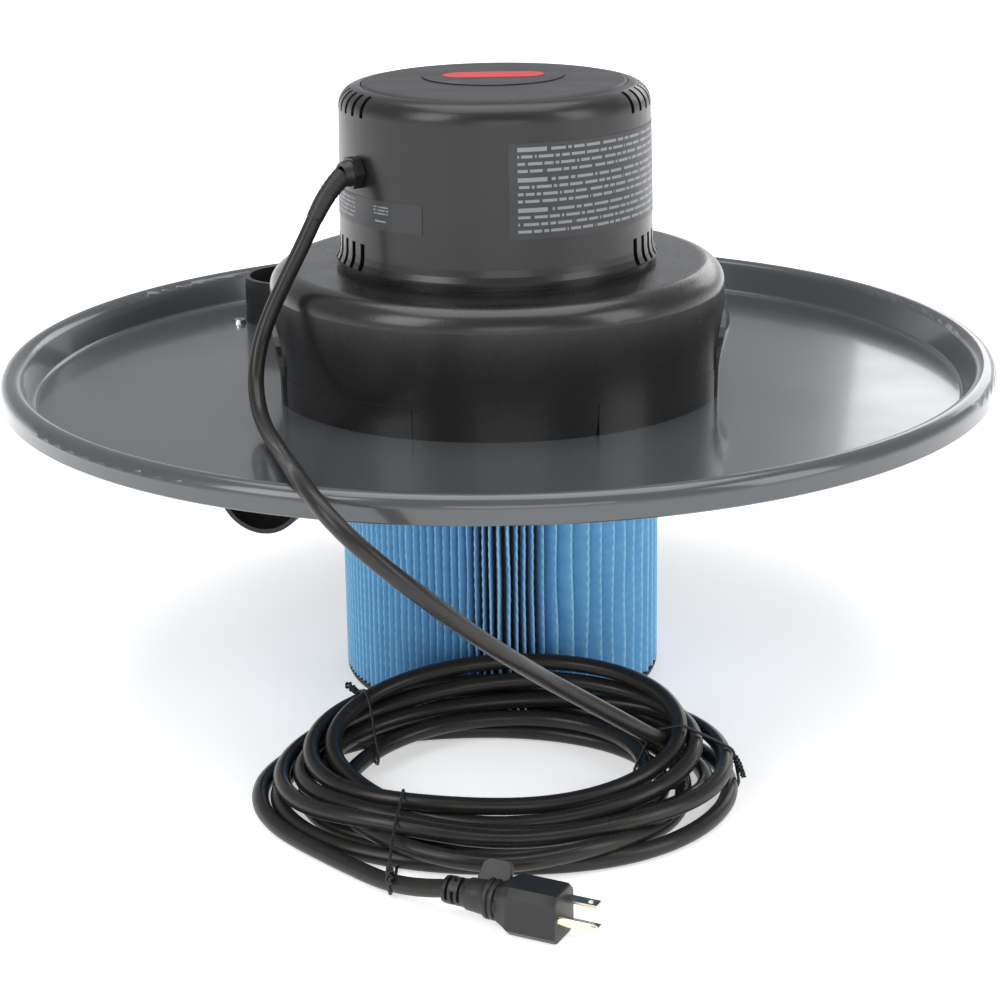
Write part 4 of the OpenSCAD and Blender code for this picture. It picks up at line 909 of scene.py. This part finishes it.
def make_tie(name, line, base, angle, knot_to, knot_way, knot_len, replaced, material, seed):
    """A coated wire loop, its two ends twisted together at the point of the loop nearest knot_to."""
    base = np.array(base) * MM
    loop, out, along = tie_loop(line, base, angle)
    rng = np.random.default_rng(seed)

    def world(r, z, x=0.0):
        place = base + out * r + along * x
        return np.array([place[0], place[1], z])

    round_loop = np.linspace(0, 2 * math.pi, len(loop), endpoint=False)
    sway = TIE_SWAY * np.sin(round_loop * 2 + rng.uniform(0, 6))
    points = [world(r, z, x) for (r, z), x in zip(loop, sway)]
    curve = round_curve(name, TIE_R, 3)
    add_spline(curve, points, closed=True)
    start = min(points, key=lambda p: float(np.linalg.norm(p - world(*knot_to))))
    way = world(*knot_way) - world(0, 0)
    way /= np.linalg.norm(way)
    side = np.cross(way, np.array([out[0], out[1], 0.0]))
    side = side / np.linalg.norm(side) if np.linalg.norm(side) > 0.2 else np.array([along[0], along[1], 0.0])
    other = np.cross(way, side)
    for phase in (0, math.pi):
        twist = []
        for k in range(TWIST_STEPS):
            s = k / (TWIST_STEPS - 1)
            radius = (1.0 + 0.5 * math.sin(math.pi * min(1, s * 1.3))) * MM
            turn = phase + s * 2 * math.pi * TWIST_TURNS
            bend = TWIST_BEND * s * s * rng.uniform(0.98, 1.02)
            twist.append(start + way * knot_len * s + radius * (math.cos(turn) * side + math.sin(turn) * other)
                         + bend * side * (1 if phase else -0.4))
        add_spline(curve, twist, radii=[0.92] * (TWIST_STEPS - 2) + [0.85, 0.6])
    tie = add_object(name, curve)
    curve.materials.append(material)
    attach(tie, "head")
    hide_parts(replaced)
    return tie


# ------------------------------------------------------------------ plug


def plug_world(points):
    turn = np.array([[math.cos(PLUG_TURN), -math.sin(PLUG_TURN), 0],
                     [math.sin(PLUG_TURN), math.cos(PLUG_TURN), 0], [0, 0, 1]])
    return np.array(points) * MM @ turn.T + np.array(PLUG_AT)


def block_ring(x, half_y, half_z, cut, count):
    """A rectangle with its corners cut back, as evenly turned points round X."""
    out = []
    for k in range(count):
        b = 2 * math.pi * (k + 0.5) / count
        c, s = math.cos(b), math.sin(b)
        reach = min(half_y / max(abs(c), 1e-6), half_z / max(abs(s), 1e-6),
                    (half_y + half_z - cut) / (abs(c) + abs(s)))
        out.append((x, reach * c, reach * s))
    return out


def round_ring(x, r, count, dents=None):
    """A circle round X; dents gives the radius taken off at an angle in degrees."""
    out = []
    for k in range(count):
        b = 2 * math.pi * (k + 0.5) / count
        here = r - (dents(math.degrees(b)) if dents else 0)
        out.append((x, here * math.cos(b), here * math.sin(b)))
    return out


def slot_dent(bridges, depth=2.0, half=24):
    """A ring slot left whole near each of its bridges."""
    def dent(b):
        near = min(abs((b - c + 180) % 360 - 180) for c in bridges)
        return depth if near > half else 0.0
    return dent


# The plug's outline in mm from its face: (place, radius) along the cord's end, then (place, where the slot is
# bridged in degrees) for each ring slot, (place, radius) along the barrel and its two collars, (place, half
# width, half height, corner cut) along the block, and (place, height) round the wing
CORD_END = ((-66.0, 6.1), (-65.6, 6.8), (-64.9, 7.1))
RING_SLOTS = ((-63.4, (45, 225)), (-60.0, (135, 315)), (-56.6, (45, 225)))
BARREL = ((-53.6, 7.4), (-52.4, 8.1), (-51.8, 8.3), (-46.0, 8.7), (-42.2, 9.1), (-41.7, 9.3), (-41.3, 10.2),
          (-40.9, 10.5), (-39.4, 10.5), (-39.0, 10.2), (-38.7, 9.5), (-38.2, 9.5), (-37.9, 10.2),
          (-37.5, 10.5), (-36.0, 10.5), (-35.6, 10.1), (-35.3, 9.4))
BLOCK = ((-34.6, 9.0, 9.4, 3.2), (-33.8, 9.2, 9.6, 3.2), (-29.2, 11.0, 12.0, 4.0), (-27.9, 11.6, 12.7, 4.0),
         (-27.0, 11.9, 12.9, 3.8), (-26.0, 12.0, 13.0, 3.7), (-2.0, 12.0, 13.0, 3.7), (-0.8, 11.8, 12.8, 3.8),
         (-0.2, 11.3, 12.3, 3.9), (0.0, 10.6, 11.6, 4.0))
WING = ((-49.5, -1), (-48.0, 7.6), (-47.0, 10.4), (-45.3, 11.9), (-43, 12.3), (-36, 12.3), (-34, 11.8),
        (-32.8, 10.5), (-32.2, 8.8), (-31.4, -1))
WING_MIDDLE = -39.5
WING_LEAN = math.radians(32)
WING_Y, WING_Z = 3.2, 6.2


def make_plug(material):
    """Strain-relief barrel with broken ring slots, collars, a faceted shoulder and the block."""
    count = 72
    rings = [round_ring(x, r, count) for x, r in CORD_END]
    for start, bridges in RING_SLOTS:
        dent = slot_dent(bridges)
        rings += [round_ring(start, 7.2, count), round_ring(start + 0.12, 7.2, count, dent),
                  round_ring(start + 1.55, 7.25, count, dent), round_ring(start + 1.67, 7.25, count)]
    rings += [round_ring(x, r, count) for x, r in BARREL]
    rings += [block_ring(x, half_y, half_z, cut_back, count) for x, half_y, half_z, cut_back in BLOCK]
    verts = [p for ring in rings for p in ring]
    faces = ring_faces(len(rings), count)
    # The flat wing behind the barrel, its corners rounded and its edge thinned
    base = len(verts)
    for side, thin in ((-1.8, 0), (-1.3, 0.5), (1.3, 0.5), (1.8, 0)):
        for x, h in WING:
            grow = thin if h > 0 else 0
            reach_x, reach_h = x + math.copysign(grow, x - WING_MIDDLE), h + grow
            verts.append((reach_x, WING_Y + side * math.cos(WING_LEAN) + reach_h * math.sin(WING_LEAN),
                          WING_Z - side * math.sin(WING_LEAN) + reach_h * math.cos(WING_LEAN)))
    faces += [tuple(base + v for v in f) for f in ring_faces(4, len(WING))]
    return piece("plug_moulding", plug_world(verts), faces, material, ["plug_body"], 30)


# ------------------------------------------------------------------ build

make_camera()
make_studio()
paint_nodes()
TIE = moulded("tie_coating", (0.012, 0.012, 0.012), 0.4, grain_scale=3000)
CORD, CORD_LINE, CORD_LENGTH = make_cord(cord_jacket())
BOOT = make_boot(CORD_LINE, moulded("relief_rubber", (0.013, 0.013, 0.013), 0.45, grain_scale=2500))
# Each tie: its name, a point inside the coil in mm and the direction outwards in degrees, where its knot sits
# and points, the knot's length in mm, the CAD tie it replaces, and its seed
TIES = [
    make_tie(name, CORD_LINE, base, math.radians(angle), knot_to, knot_way, length * MM, replaced, TIE, seed)
    for name, base, angle, knot_to, knot_way, length, replaced, seed in (
        ("wire_tie_front", (-57, -205), 264.3, (0.113, 0.009), (0.92, -0.22, 0.12), 15, "coil_tie_front", 1),
        ("wire_tie_left", (-71, -194), 106.3, (0.090, 0.045), (0.5, 0.5, 0.5), 9, "coil_tie_left", 2),
        ("wire_tie_right", (-10, -206), -1, (0.131, 0.02), (0.35, -0.8, -0.2), 13, "coil_tie_right", 3),
    )
]
PLUG = make_plug(moulded("plug_moulded", (0.0095, 0.009, 0.0086), 0.38, grain_scale=2000))
make_media()
